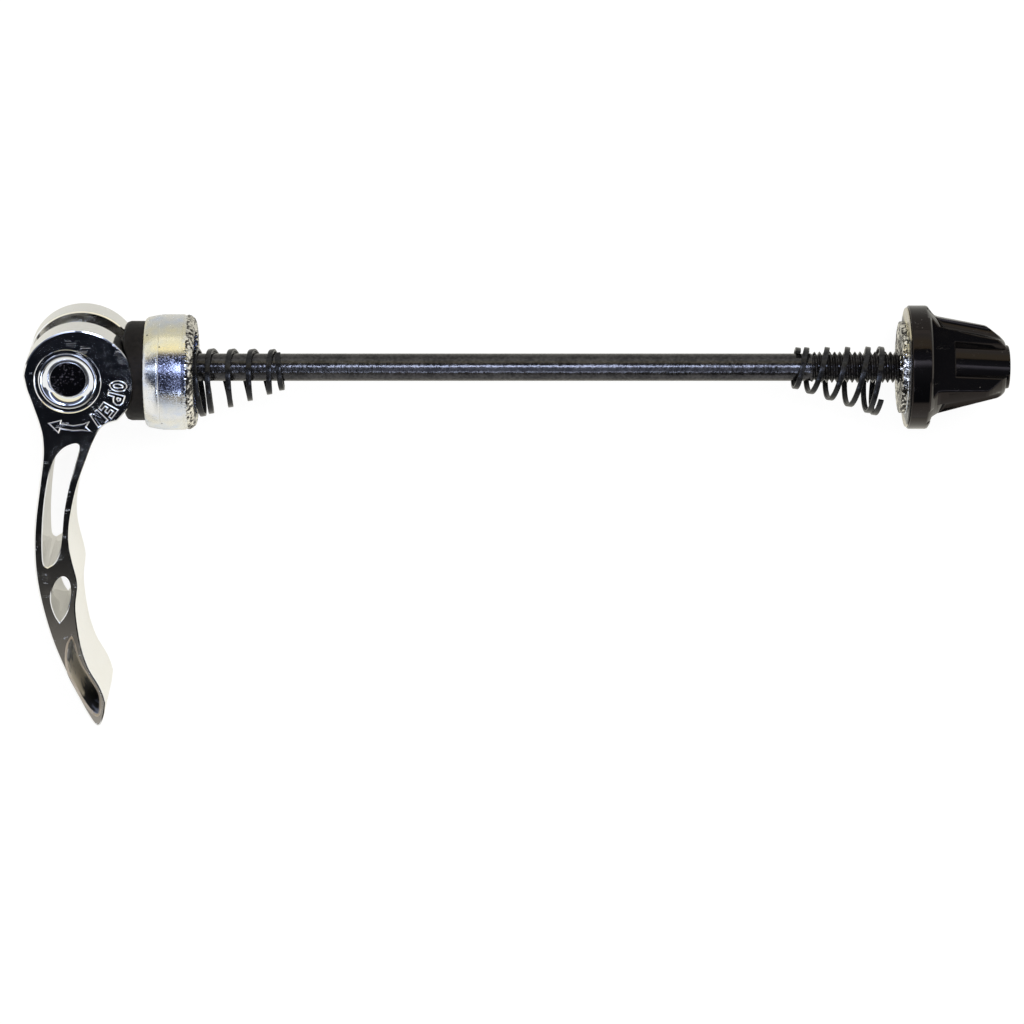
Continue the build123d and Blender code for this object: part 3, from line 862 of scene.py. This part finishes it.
# %% Loft the two ears and the blade
RIM_STEPS = ((0.25, 0.0), (0.06, 0.077), (0.0, 0.15))
SLOT_BEVEL = 0.18
BORE_RADIUS = 4.65
EYE_RADIUS = 5.18
EYE_DEPTH = 0.35
EYE_BEVEL = 0.12
EYE_POINTS = 72
EYE_STEPS = (
    (EYE_RADIUS + EYE_BEVEL, HALF_WIDTH), (EYE_RADIUS, HALF_WIDTH - EYE_BEVEL),
    (EYE_RADIUS, HALF_WIDTH - EYE_DEPTH), (BORE_RADIUS, HALF_WIDTH - EYE_DEPTH), (BORE_RADIUS, SLOT_HALF),
)
outline = crossing(outline, SLOT_FLOOR)
start = next(index for index, (x, y) in enumerate(outline) if y == SLOT_FLOOR and x > 0)
outline = outline[start:] + outline[:start]
fork_end = next(index for index, (x, y) in enumerate(outline) if y == SLOT_FLOOR and index > 0)
fork = outline[:fork_end + 1]
taper = [min(1.0, min(index, len(fork) - 1 - index) / 4) * SLOT_BEVEL for index in range(len(fork))]
fork_inset = inset(outline, taper + [0.0] * (len(outline) - len(fork)))[:len(fork)]

form = bmesh.new()
face_mark_layer = form.faces.layers.float.new("face_mark")
face_rims = {}
wall_rims = []
slot_faces = []
for side in (1, -1):
    rims = [
        add_loop(form, inset(outline, inwards), side * (HALF_WIDTH - down)) for inwards, down in RIM_STEPS
    ]
    loft(form, rims)
    slot_wall = [
        form.verts.new((PIVOT_X + x, y, side * (SLOT_HALF + bevel))) for (x, y), bevel in zip(fork, taper)
    ]
    slot_face = [slot_wall[0]] + add_loop(form, fork_inset[1:-1], side * SLOT_HALF) + [slot_wall[-1]]
    loft(form, [rims[-1][:len(fork)], slot_wall, slot_face], closed=False)
    eye_rings = [
        add_loop(form, ellipse(radius, radius, EYE_POINTS), side * height) for radius, height in EYE_STEPS
    ]
    loft(form, eye_rings)
    fill_flat(form, [slot_face, eye_rings[-1]])
    face_rims[side] = [rims[0], eye_rings[0]]
    wall_rims.append(rims[-1])
    slot_faces.append(slot_face)

near_slot, far_slot = slot_faces
rest_near, rest_far = [rim[fork_end:] + rim[:1] for rim in wall_rims]
last = len(rest_near) - 1
for index in range(last):
    corners = [rest_near[index], rest_near[index + 1]]
    if index + 1 == last:
        corners += [near_slot[0], far_slot[0]]
    corners += [rest_far[index + 1], rest_far[index]]
    if index == 0:
        corners += [far_slot[-1], near_slot[-1]]
    form.faces.new(corners)
form.faces.new([near_slot[0], near_slot[-1], far_slot[-1], far_slot[0]])
print("lever sides of", len(form.faces), "faces")

# %% Open the windows, engrave the marks and close the faces
WINDOW_BEVELS = (0.12, 0.12, 0.36)
GROOVE_HALF = 0.1
GROOVE_DEPTH = 0.054
# The tip window's bevels carry the mark 0.5 for the stained rim, and its walls carry 1.0 for their painted
# reflections.
WINDOW_FACE_MARKS = (0.5, 1.0, 0.5)
for window, bevel in zip(windows, WINDOW_BEVELS):
    levels = [
        add_loop(form, inset(window, bevel), HALF_WIDTH),
        add_loop(form, window, HALF_WIDTH - bevel),
        add_loop(form, window, bevel - HALF_WIDTH),
        add_loop(form, inset(window, bevel), -HALF_WIDTH),
    ]
    for index, face in enumerate(loft(form, levels)):
        face[face_mark_layer] = WINDOW_FACE_MARKS[index // len(window)] if window is windows[2] else 0.0
    face_rims[1].append(levels[0])
    face_rims[-1].append(levels[-1])

for mark in marks:
    floors = []
    for loop in mark:
        groove = [
            add_loop(form, inset(loop, -GROOVE_HALF), HALF_WIDTH),
            add_loop(form, loop, HALF_WIDTH - GROOVE_DEPTH),
            add_loop(form, inset(loop, GROOVE_HALF), HALF_WIDTH),
        ]
        loft(form, groove)
        face_rims[1].append(groove[0])
        floors.append(groove[-1])
    fill_flat(form, floors)
fill_flat(form, face_rims[1])
fill_flat(form, face_rims[-1])
lever_mesh = bpy.data.meshes.new("lever")
form.to_mesh(lever_mesh)
form.free()
make_piece("cam_lever", lever_mesh, polished_alloy, "lever", sharp_angle=12.0)

# %% [markdown]
# ## The pivot barrel
# A round steel barrel lies across the lever's eye, and the rod is screwed into it. Each end has a
# countersink with a rough floor. It is lathed about its own axis, and the hole that the rod sits in is cut
# with a boolean.

# %% Turn the barrel
BARREL_RADIUS = 4.6
SINK_RADIUS = 4.05
SINK_FLOOR_RADIUS = 2.9
SINK_TILTS = (24.0, 52.0)
SINK_STEPS = 9
BARREL_EDGE = 0.16
end = HALF_WIDTH
inwards = (SINK_RADIUS - SINK_FLOOR_RADIUS) / SINK_STEPS
wall_depth = 0.0
half_profile = [(end, SINK_RADIUS)]
for tilt in np.radians(np.linspace(*SINK_TILTS, SINK_STEPS)):
    wall_depth += inwards * math.tan(tilt)
    half_profile.append((end - wall_depth, half_profile[-1][1] - inwards))
half_profile += [(end - wall_depth, SINK_FLOOR_RADIUS * 0.5), (end - wall_depth, 0.02)]
half_profile.reverse()
half_profile += [
    (end, BARREL_RADIUS - BARREL_EDGE), (end - 0.04, BARREL_RADIUS - 0.05),
    (end - BARREL_EDGE, BARREL_RADIUS),
]
barrel_profile = half_profile + [(-height, radius) for height, radius in reversed(half_profile)]
barrel_mesh = skin(upright_rings(barrel_profile, 96, PIVOT_X))


def cut(mesh, cutter_mesh):
    """The mesh with another mesh cut away from it."""
    bodies = []
    for data in (mesh, cutter_mesh):
        cleaned = bmesh.new()
        cleaned.from_mesh(data)
        bmesh.ops.recalc_face_normals(cleaned, faces=cleaned.faces)
        cleaned.to_mesh(data)
        cleaned.free()
        bodies.append(place_object("cutting", data))
    modifier = bodies[0].modifiers.new("cut", "BOOLEAN")
    modifier.operation = "DIFFERENCE"
    modifier.solver = "EXACT"
    modifier.object = bodies[1]
    result = plain_mesh(bodies[0])
    for body in bodies:
        bpy.data.objects.remove(body)
    return result


HOLE_REACH = 9.0
hole_radius = THREAD_CREST + 0.03
hole_profile = [(PIVOT_X - HOLE_REACH, hole_radius), (PIVOT_X + HOLE_REACH, hole_radius)]
rod_hole = skin(turned_rings(hole_profile, 64))
make_piece("pivot_barrel", cut(barrel_mesh, rod_hole), chromed_steel, "axle")

# %% [markdown]
# ## The saddle
# A matte plastic saddle sits between the cam and the cup. Its hollow back lets the round cam slide on it.
# It is turned with a rounded edge, and a long cylinder cuts the trough.

# %% Turn the saddle and cut its trough
saddle_end = span_x("cam_saddle")[1]
saddle_radius, saddle_drop = round_size("cam_saddle")
SPIGOT_RADIUS = 6.9
SPIGOT_LENGTH = 1.4
SADDLE_LENGTH = 3.3
SADDLE_WEB = 1.45
SADDLE_BORE = SHANK_RADIUS + 0.6
TROUGH_RADIUS = 9.7
TROUGH_REACH = 14.0
flange_end = saddle_end - SPIGOT_LENGTH
back = flange_end - SADDLE_LENGTH
saddle_corners = [
    (back, saddle_radius - 1.1), (back + 0.12, saddle_radius - 0.6), (back + 0.4, saddle_radius - 0.2),
    (back + 0.95, saddle_radius), (flange_end, saddle_radius), (flange_end, SPIGOT_RADIUS),
    (saddle_end, SPIGOT_RADIUS), (saddle_end, SADDLE_BORE), (back, SADDLE_BORE),
]
saddle_mesh = skin(turned_rings(saddle_corners, 128, saddle_drop), looped=True)
trough_profile = [(-TROUGH_REACH, TROUGH_RADIUS), (TROUGH_REACH, TROUGH_RADIUS)]
trough = skin(upright_rings(trough_profile, 128, flange_end - SADDLE_WEB - TROUGH_RADIUS, CAM_CENTRE[1]))
make_piece("cam_saddle", cut(saddle_mesh, trough), matte_plastic, "clamp_head")

# %% [markdown]
# ## The serrated faces
# Both clamp faces carry radial teeth that bite into the fork. A ring of the face is lowered wherever it
# lies near the middle line of a groove, so each groove is an equal V from its inner to its outer end. A
# little seeded roughness on the nose stands for the coarse surface that the teeth were pressed into.

# %% Rings with teeth
TOOTH_DEPTH = 0.4
TOOTH_HALF_WIDTH = 0.36
STEPS_PER_TOOTH = 16


def toothed_face(x, radii, teeth, outward, drop=0.0):
    """Rings over a face that looks along outward, with V grooves cut into all but the outermost ring."""
    rings = turned_rings([(x, radius) for radius in radii], teeth * STEPS_PER_TOOTH, drop)
    for radius, ring in zip(radii[1:], rings[1:]):
        for step, (_, y, z) in enumerate(ring):
            off = (step / STEPS_PER_TOOTH) % 1.0 - 0.5
            aside = abs(off) * 2 * math.pi / teeth * radius
            depth = max(0.0, 1 - aside / TOOTH_HALF_WIDTH) * TOOTH_DEPTH
            ring[step] = (x - outward * depth, y, z)
    return rings


def roughened(rings, amount, seed):
    """Rings whose points are pushed a little out of place, the same way on each run."""
    draw = np.random.default_rng(seed)
    rings = np.array(rings, float)
    return list(rings + draw.uniform(-amount, amount, rings.shape))


def mark_rings(mesh, around, first, last):
    """Marks the faces of a skin from one ring to another, for its finish to know the pressed faces by."""
    marked = np.zeros(len(mesh.polygons))
    marked[first * around:last * around] = 1.0
    mesh.attributes.new("face_mark", "FLOAT", "FACE").data.foreach_set("value", marked)


print(f"teeth {TOOTH_DEPTH} mm deep")

# %% Turn the cup
CUP_TEETH = 28
CUP_BORE = 3.025
CUP_SHOULDER_RADIUS = 8.45
CUP_NOSE = 1.6
CUP_NOSE_STEP = 0.12
CUP_NOSE_RADIUS = 7.85
CUP_NOSE_REACH = 1.22
CUP_GRIT = 0.05
CUP_SEED = 7
CUP_FACE_RADII = (7.78, 7.64, 7.2, 6.9, 6.6)
SPRING_POCKET_DEPTH = 2.0
SADDLE_POCKET_DEPTH = 1.5
SADDLE_POCKET_RADIUS = 7.4
cup_start, cup_face = span_x("clamp_cup")
cup_radius, cup_drop = round_size("clamp_cup")
around = CUP_TEETH * STEPS_PER_TOOTH
seam = cup_start + CUP_SHOULDER
nose = cup_face - CUP_NOSE
web = (cup_start + SADDLE_POCKET_DEPTH, cup_face - SPRING_POCKET_DEPTH)
cup_profile = [
    (web[1], CUP_FACE_RADII[-1]), (web[1], CUP_BORE), (web[0], CUP_BORE), (web[0], SADDLE_POCKET_RADIUS),
    (cup_start, SADDLE_POCKET_RADIUS), (cup_start, CUP_SHOULDER_RADIUS - 0.12),
    (cup_start + 0.1, CUP_SHOULDER_RADIUS + 0.02), (cup_start + 0.4, cup_radius - 0.42),
    (seam - 0.35, cup_radius - 0.09), (seam - 0.14, cup_radius - 0.06), (seam - 0.05, cup_radius - 0.11),
    (seam + 0.05, cup_radius - 0.09), (seam + 0.13, cup_radius - 0.01), (seam + 0.25, cup_radius),
    (nose - 0.3, cup_radius), (nose - 0.14, cup_radius - 0.01), (nose - 0.04, cup_radius - 0.06),
    (nose, cup_radius - 0.2), (nose + 0.1, cup_radius - 0.2),
]
nose_profile = [
    (nose + CUP_NOSE_STEP + (CUP_NOSE - CUP_NOSE_STEP) * math.sin(angle),
     CUP_NOSE_RADIUS + CUP_NOSE_REACH * math.cos(angle))
    for angle in np.radians(np.linspace(14, 84, 8))
]
cup_rings = turned_rings(cup_profile, around, cup_drop)
cup_rings += roughened(turned_rings(nose_profile, around, cup_drop), CUP_GRIT, CUP_SEED)
cup_rings += toothed_face(cup_face, CUP_FACE_RADII, CUP_TEETH, 1, cup_drop)
cup_mesh = skin(cup_rings, looped=True)
mark_rings(cup_mesh, around, len(cup_profile), len(cup_rings) - 1)
make_piece("clamp_cup", cup_mesh, zinc_plate, "clamp_head", sharp_angle=40.0)

# %% Turn the insert
INSERT_TEETH = 22
INSERT_FACE_RADII = (6.95, 6.8, 6.0, 5.0, 4.0, 3.3, 2.95)
INSERT_BORE = THREAD_CREST + 0.05
BOSS_RADIUS = 7.2
RIM_RADIUS = 9.45
HUB_RADIUS = 3.5
BOSS_HEIGHT = 1.0
RIM_THICKNESS = 0.3
BORE_MOUTH = 2.9
INSERT_GRIT = 0.04
INSERT_SEED = 11
insert_face, insert_end = span_x("nut_insert")
around = INSERT_TEETH * STEPS_PER_TOOTH
rim = insert_face + BOSS_HEIGHT
hub = rim + RIM_THICKNESS
insert_profile = [
    (insert_end, INSERT_BORE), (insert_end, HUB_RADIUS), (hub, HUB_RADIUS), (hub, RIM_RADIUS - 0.1),
    (hub - 0.1, RIM_RADIUS), (rim + 0.1, RIM_RADIUS), (rim, RIM_RADIUS - 0.1), (rim, BOSS_RADIUS + 0.15),
]
boss_profile = [(rim - 0.1 - 0.13 * step, BOSS_RADIUS) for step in range(7)]
boss_profile += [(insert_face + 0.05, BOSS_RADIUS - 0.06), (insert_face + 0.04, BOSS_RADIUS - 0.2)]
insert_rings = turned_rings(insert_profile, around)
insert_rings += roughened(turned_rings(boss_profile, around), INSERT_GRIT, INSERT_SEED)
insert_rings += toothed_face(insert_face, INSERT_FACE_RADII, INSERT_TEETH, -1)
insert_rings += turned_rings([(insert_face, BORE_MOUTH), (insert_face, INSERT_BORE)], around)
insert_mesh = skin(insert_rings, looped=True)
mark_rings(insert_mesh, around, len(insert_profile), len(insert_rings) - 1)
make_piece("nut_insert", insert_mesh, covered_zinc, "nut", sharp_angle=40.0)

# %% [markdown]
# ## The knob
# The knob is moulded in glossy plastic: a round flange, a tapering grip of three flat lobes with a flute
# between each two, a sunk pocket with a rounded floor on every flat, and a small tip. Its surface is one
# polar grid. At each place along the rod and each angle, the radius is the turned shape, cut back where a
# flat, a flute or a pocket is deeper.

# %% Shape the knob's radius
knob_start = span_x("nut_knob")[0]
flange_radius = round_size("nut_knob")[0]
KNOB_PROFILE = [
    (0.0, flange_radius - 0.25), (0.08, flange_radius - 0.08), (0.25, flange_radius),
    (2.75, flange_radius), (3.05, flange_radius - 0.07), (3.3, flange_radius - 0.4), (3.75, 8.75),
    (4.2, 8.28), (4.7, 8.08), (6.0, 7.82), (12.0, 6.7), (12.4, 6.56), (13.0, 6.15), (14.6, 4.9),
    (15.1, 4.4), (15.3, 4.12), (15.36, 3.55), (15.75, 3.5), (15.95, 3.4), (16.0, 3.2), (16.0, 1.5),
    (16.0, 0.02),
]
LOBES = 3
LOBE_PITCH = 2 * math.pi / LOBES
LOBE_ANGLE = math.radians(57.0)
FLUTE_AFTER_LOBE = math.radians(70.0)
FLAT_START = 3.3
FLAT_EDGE = 0.16
FLAT_LIFT = 4.0
FLAT_BLEND = 0.12
FLAT_DISTANCE = 6.3
GRIP_SLOPE = (8.1 - 6.5) / 7.6
FLUTE_RADIUS = 1.5
FLUTE_CENTRE = 8.8
FLUTE_RUN_OUT = (6.0, 6.5, 1.0)
FLUTE_BLEND = 0.2
POCKET_HALF_WIDTH = 2.8
POCKET_DEPTH = 0.45
POCKET_ROUND = 5.75
POCKET_START = 7.1
POCKET_SIDE_EDGE = (-0.1, 0.06)
POCKET_START_EDGE = (-0.05, 0.12)


def soft_least(first, second, blend):
    """The lesser of two arrays, with a rounded change from one to the other."""
    share = np.clip(0.5 + 0.5 * (second - first) / blend, 0, 1)
    return second * (1 - share) + first * share - blend * share * (1 - share)


def ramp(value, start, end):
    """A smooth step from 0 to 1."""
    share = np.clip((value - start) / (end - start), 0, 1)
    return share * share * (3 - 2 * share)


def knob_radius(along, base, angles):
    """The knob's radius all round at one place along the rod."""
    half = LOBE_PITCH / 2
    from_lobe = (angles - LOBE_ANGLE + half) % LOBE_PITCH - half
    from_flute = (angles - LOBE_ANGLE - FLUTE_AFTER_LOBE + half) % LOBE_PITCH - half
    down_slope = GRIP_SLOPE * (along - FLAT_START)

    level = FLAT_DISTANCE - down_slope
    flat = level / np.cos(from_lobe) + FLAT_LIFT * (1 - ramp(along, FLAT_START, FLAT_START + FLAT_EDGE))
    radius = soft_least(np.full_like(angles, base), flat, FLAT_BLEND)

    centre = FLUTE_CENTRE - down_slope
    reach = FLUTE_RADIUS ** 2 - (centre * np.sin(from_flute)) ** 2
    hollow = centre * np.cos(from_flute) - np.sqrt(np.maximum(reach, 0))
    run_x, run_radius, run_slope = FLUTE_RUN_OUT
    hollow = np.maximum(hollow, run_radius + run_slope * (run_x - along))
    flute = np.where((reach > 0) & (np.abs(from_flute) < 1.0), hollow, base + 1.0)
    radius = soft_least(radius, flute, FLUTE_BLEND)

    sunk = level - POCKET_DEPTH - POCKET_ROUND
    floor = sunk * np.cos(from_lobe) + np.sqrt(POCKET_ROUND ** 2 - (sunk * np.sin(from_lobe)) ** 2)
    aside = level * np.tan(np.abs(from_lobe))
    outside = ramp(aside, *[POCKET_HALF_WIDTH + edge for edge in POCKET_SIDE_EDGE])
    before = 1 - ramp(along, *[POCKET_START + edge for edge in POCKET_START_EDGE])
    outside = np.maximum(outside, before)
    return np.minimum(radius, floor * (1 - outside) + radius * outside)


# %% Skin the knob
KNOB_ROWS = 150
GRID_COUNTS = (16, 5, 20, 5, 26, 5, 20, 5, 16)
profile_x = [point[0] for point in KNOB_PROFILE]
profile_r = [point[1] for point in KNOB_PROFILE]
path = [0.0]
for first, second in zip(KNOB_PROFILE, KNOB_PROFILE[1:]):
    path.append(path[-1] + math.dist(first, second))
pocket_rows = np.interp(POCKET_START + np.linspace(-0.06, 0.13, 7), profile_x, path)
samples = np.unique(np.concatenate([path, pocket_rows, np.linspace(0, path[-1], KNOB_ROWS)]))
lobe_share = np.concatenate([
    np.linspace(index, index + 1, count, endpoint=False) for index, count in enumerate(GRID_COUNTS)
])


def spread_angles(along, base):
    """Angles round the knob at one place, gathered where the edges of pockets and flutes run."""
    down_slope = GRIP_SLOPE * (along - FLAT_START)
    level = FLAT_DISTANCE - down_slope
    pocket = [math.atan((POCKET_HALF_WIDTH + edge) / level) for edge in POCKET_SIDE_EDGE]
    centre = FLUTE_CENTRE - down_slope
    cosine = (centre ** 2 + base ** 2 - FLUTE_RADIUS ** 2) / (2 * centre * base)
    half = max(0.05, math.acos(min(1.0, cosine)))
    flute = [FLUTE_AFTER_LOBE + edge + aside for edge in (-half, half) for aside in (-0.012, 0.012)]
    knots = [0.0, *pocket, *flute, LOBE_PITCH - pocket[1], LOBE_PITCH - pocket[0], LOBE_PITCH]
    one_lobe = np.interp(lobe_share, range(len(knots)), knots)
    return np.concatenate([LOBE_ANGLE + LOBE_PITCH * lobe + one_lobe for lobe in range(LOBES)])


knob_rings = []
for sample in samples:
    along = np.interp(sample, path, profile_x)
    base = np.interp(sample, path, profile_r)
    knob_angles = spread_angles(along, base)
    radii = knob_radius(along, base, knob_angles)
    knob_rings.append(np.stack([
        np.full_like(radii, knob_start + along), radii * np.cos(knob_angles), radii * np.sin(knob_angles),
    ], axis=1))
make_piece("nut_knob", skin(knob_rings), gloss_plastic, "nut", sharp_angle=50.0)

# %% [markdown]
# ## The studio
# Polished metal looks like what it reflects, so the studio matters as much as the finish. The floor and the
# world are white to the camera, and the floor keeps a faint shadow. Above the lens hangs a curved card that
# only reflections see. It is black where the lever's face looks, which gives the polish its depth, and
# paler towards its ends. Thin bluish strips on it draw the bright lines along the rod and round the cup.

# %% White world and pale floor
def blend(share, first, second):
    """A shader between two, by a share from 0 to 1."""
    return add(first.tree, "ShaderNodeMixShader", {0: share, 1: first, 2: second})


def stage_sheet(name, paint, points, faces):
    """A sheet of the stage, with the tree and the surface socket of its new, empty material."""
    mesh = bpy.data.meshes.new(name)
    mesh.from_pydata(points, [], faces)
    sheet = place_object(name, mesh)
    material = bpy.data.materials.new(paint)
    material.use_nodes = True
    mesh.materials.append(material)
    tree = material.node_tree
    tree.nodes.remove(tree.nodes["Principled BSDF"])
    return sheet, tree, tree.nodes["Material Output"].inputs["Surface"]


world = bpy.data.worlds.new("studio")
bpy.context.scene.world = world
world.use_nodes = True
light_path = add(world.node_tree, "ShaderNodeLightPath")
seen = light_path["Is Camera Ray"].most(light_path["Is Glossy Ray"]).most(light_path["Is Transmission Ray"])
background = world.node_tree.nodes["Background"].inputs
background["Color"].default_value = (1.0, 1.0, 1.0, 1.0)
(seen * 0.35 + 0.65).into(background["Strength"])

FLOOR_HALF = 1.5
FLOOR_Z = cad_box[0][2]
floor_corners = [(x * FLOOR_HALF, y * FLOOR_HALF, FLOOR_Z) for x, y in ((-1, -1), (1, -1), (1, 1), (-1, 1))]
floor, tree, surface = stage_sheet("floor", "white_paper", floor_corners, [(0, 1, 2, 3)])
light_path = add(tree, "ShaderNodeLightPath")
# Painted shade in reflections: the floor is cream towards -Y and darker grey towards +Y, by its Y position.
# The camera still sees it white.
floor_tone_and_painted_shade = mix(object_axes(tree)["Y"].spread(-0.015, 0.03), (0.90, 0.88, 0.80), (0.52, 0.52, 0.50))
lit = add(tree, "ShaderNodeBsdfDiffuse", {"Color": (0.9, 0.9, 0.9)})
glow = add(tree, "ShaderNodeEmission", {"Color": (1.0, 1.0, 1.0), "Strength": 0.86})
lift = add(tree, "ShaderNodeEmission", {"Strength": 0.175})
shown = add(tree, "ShaderNodeAddShader", {0: blend(0.16, glow, lit), 1: lift})
even = add(tree, "ShaderNodeEmission", {"Color": floor_tone_and_painted_shade, "Strength": 1.0})
shaded = add(tree, "ShaderNodeBsdfDiffuse", {"Color": floor_tone_and_painted_shade})
plain = blend(light_path["Is Camera Ray"], lit, shown)
blend(light_path["Is Glossy Ray"], plain, blend(0.6, even, shaded)).into(surface)
print("white world and floor ready")

# %% The black card above the lens
CARD_RADIUS = 0.5
CARD_HALF_LENGTHS = (0.75, 0.28)
CARD_NARROWS = (98, 106)
CARD_SPAN = (8, 182)
CARD_ROWS = 88
CARD_TONES = [
    (8, (0.78, 0.82, 0.86)), (17, (0.92, 0.92, 0.86)), (25, (1.0, 0.93, 0.68)),
    (33, (0.98, 0.93, 0.76)), (37.5, (0.92, 0.80, 0.50)), (40.4, (0.02, 0.022, 0.03)),
    (46, (0.07, 0.08, 0.11)), (56, (0.14, 0.16, 0.24)), (78, (0.10, 0.115, 0.16)),
    (104, (0.02, 0.022, 0.03)), (112, (0.004, 0.005, 0.008)), (117.4, (0.008, 0.008, 0.009)),
    (119.2, (0.045, 0.043, 0.041)), (121.6, (0.19, 0.175, 0.155)), (122.8, (0.27, 0.25, 0.22)),
    (124.2, (0.46, 0.43, 0.39)), (130, (0.40, 0.39, 0.37)), (134, (0.42, 0.42, 0.41)),
    (143, (0.76, 0.77, 0.76)), (180, (0.88, 0.89, 0.88)),
]
card_points = []
for degrees in np.linspace(*CARD_SPAN, CARD_ROWS):
    half_length = np.interp(degrees, CARD_NARROWS, CARD_HALF_LENGTHS)
    angle = math.radians(degrees)
    for x in (-half_length, half_length):
        card_points.append((x, CARD_RADIUS * math.cos(angle), CARD_RADIUS * math.sin(angle)))
card_faces = [(first, first + 1, first + 3, first + 2) for first in range(0, len(card_points) - 2, 2)]
card, tree, surface = stage_sheet("black_card", "black_felt", card_points, card_faces)
for ray in ("camera", "diffuse", "transmission", "volume_scatter", "shadow"):
    setattr(card, "visible_" + ray, False)

split = object_axes(tree)
turn = split["Z"].reckon("ARCTAN2", split["Y"]) * math.degrees(1.0)
over_cup = split["X"].within(-0.14, -0.125, -0.09, -0.078)
over_rod = split["X"].within(-0.078, -0.05, 0.03, 0.09)
strip = turn.within(60, 62, 64, 76) * over_cup.spread(0.0, 1.0, 1.0, 0.1)
second_strip = turn.within(111, 113, 115, 118) * over_rod
sheen = (turn.within(50, 60, 112, 118) * over_rod).reckon("SUBTRACT", strip, clamp=True)
over_nut = turn.within(108, 112, 140, 146) * split["X"].spread(0.0, 0.06)
colour = ramp_colours(turn / 180, [(degrees / 180, tone) for degrees, tone in CARD_TONES])
colour = mix(strip, colour, (0.62, 0.72, 1.0))
colour = mix(over_nut, colour, (0.006, 0.006, 0.008))
colour = mix(sheen, colour, (0.75, 0.85, 1.15))
colour = mix(second_strip, colour, (0.66, 0.76, 1.0))
strength = strip * (over_rod * 20.0 + 1.6) + second_strip * 9.0 + 1.0
add(tree, "ShaderNodeEmission", {"Color": colour, "Strength": strength}).into(surface)
print("black card of", len(card_faces), "faces")

# %% A soft lamp overhead
lamp_data = bpy.data.lights.new("soft_box", "AREA")
lamp_data.shape = "RECTANGLE"
lamp_data.size = 0.5
lamp_data.size_y = 0.35
lamp_data.energy = 3.0
lamp = place_object("soft_box", lamp_data)
lamp.location = (0.1, 0.35, 0.45)
lamp.rotation_euler = Vector(lamp.location).to_track_quat("Z", "Y").to_euler()
lamp.visible_glossy = False
print(f"soft lamp of {lamp_data.energy} W")

# %% [markdown]
# ## The camera
# The photograph looks down on the skewer from the rod's side, with a long lens. The place and the tilt
# below put the rod, the pivot and the knob on the picture where the photograph has them.

# %% Set the camera
CAMERA_BENCH = Vector((-5.59, 217.17, 610.65))
CAMERA_TILT = math.radians(21.6) - REST_ROLL
FOCAL_PIXELS = 4100
IMAGE_PIXELS = 1024
camera_data = bpy.data.cameras.new("camera")
camera_data.sensor_width = 36.0
camera_data.lens = FOCAL_PIXELS / IMAGE_PIXELS * camera_data.sensor_width
camera = place_object("camera", camera_data)
camera.location = FROM_BENCH @ CAMERA_BENCH
camera.rotation_euler = (-CAMERA_TILT, 0.0, 0.0)
bpy.context.scene.camera = camera
print(f"lens {camera_data.lens:.1f} mm")
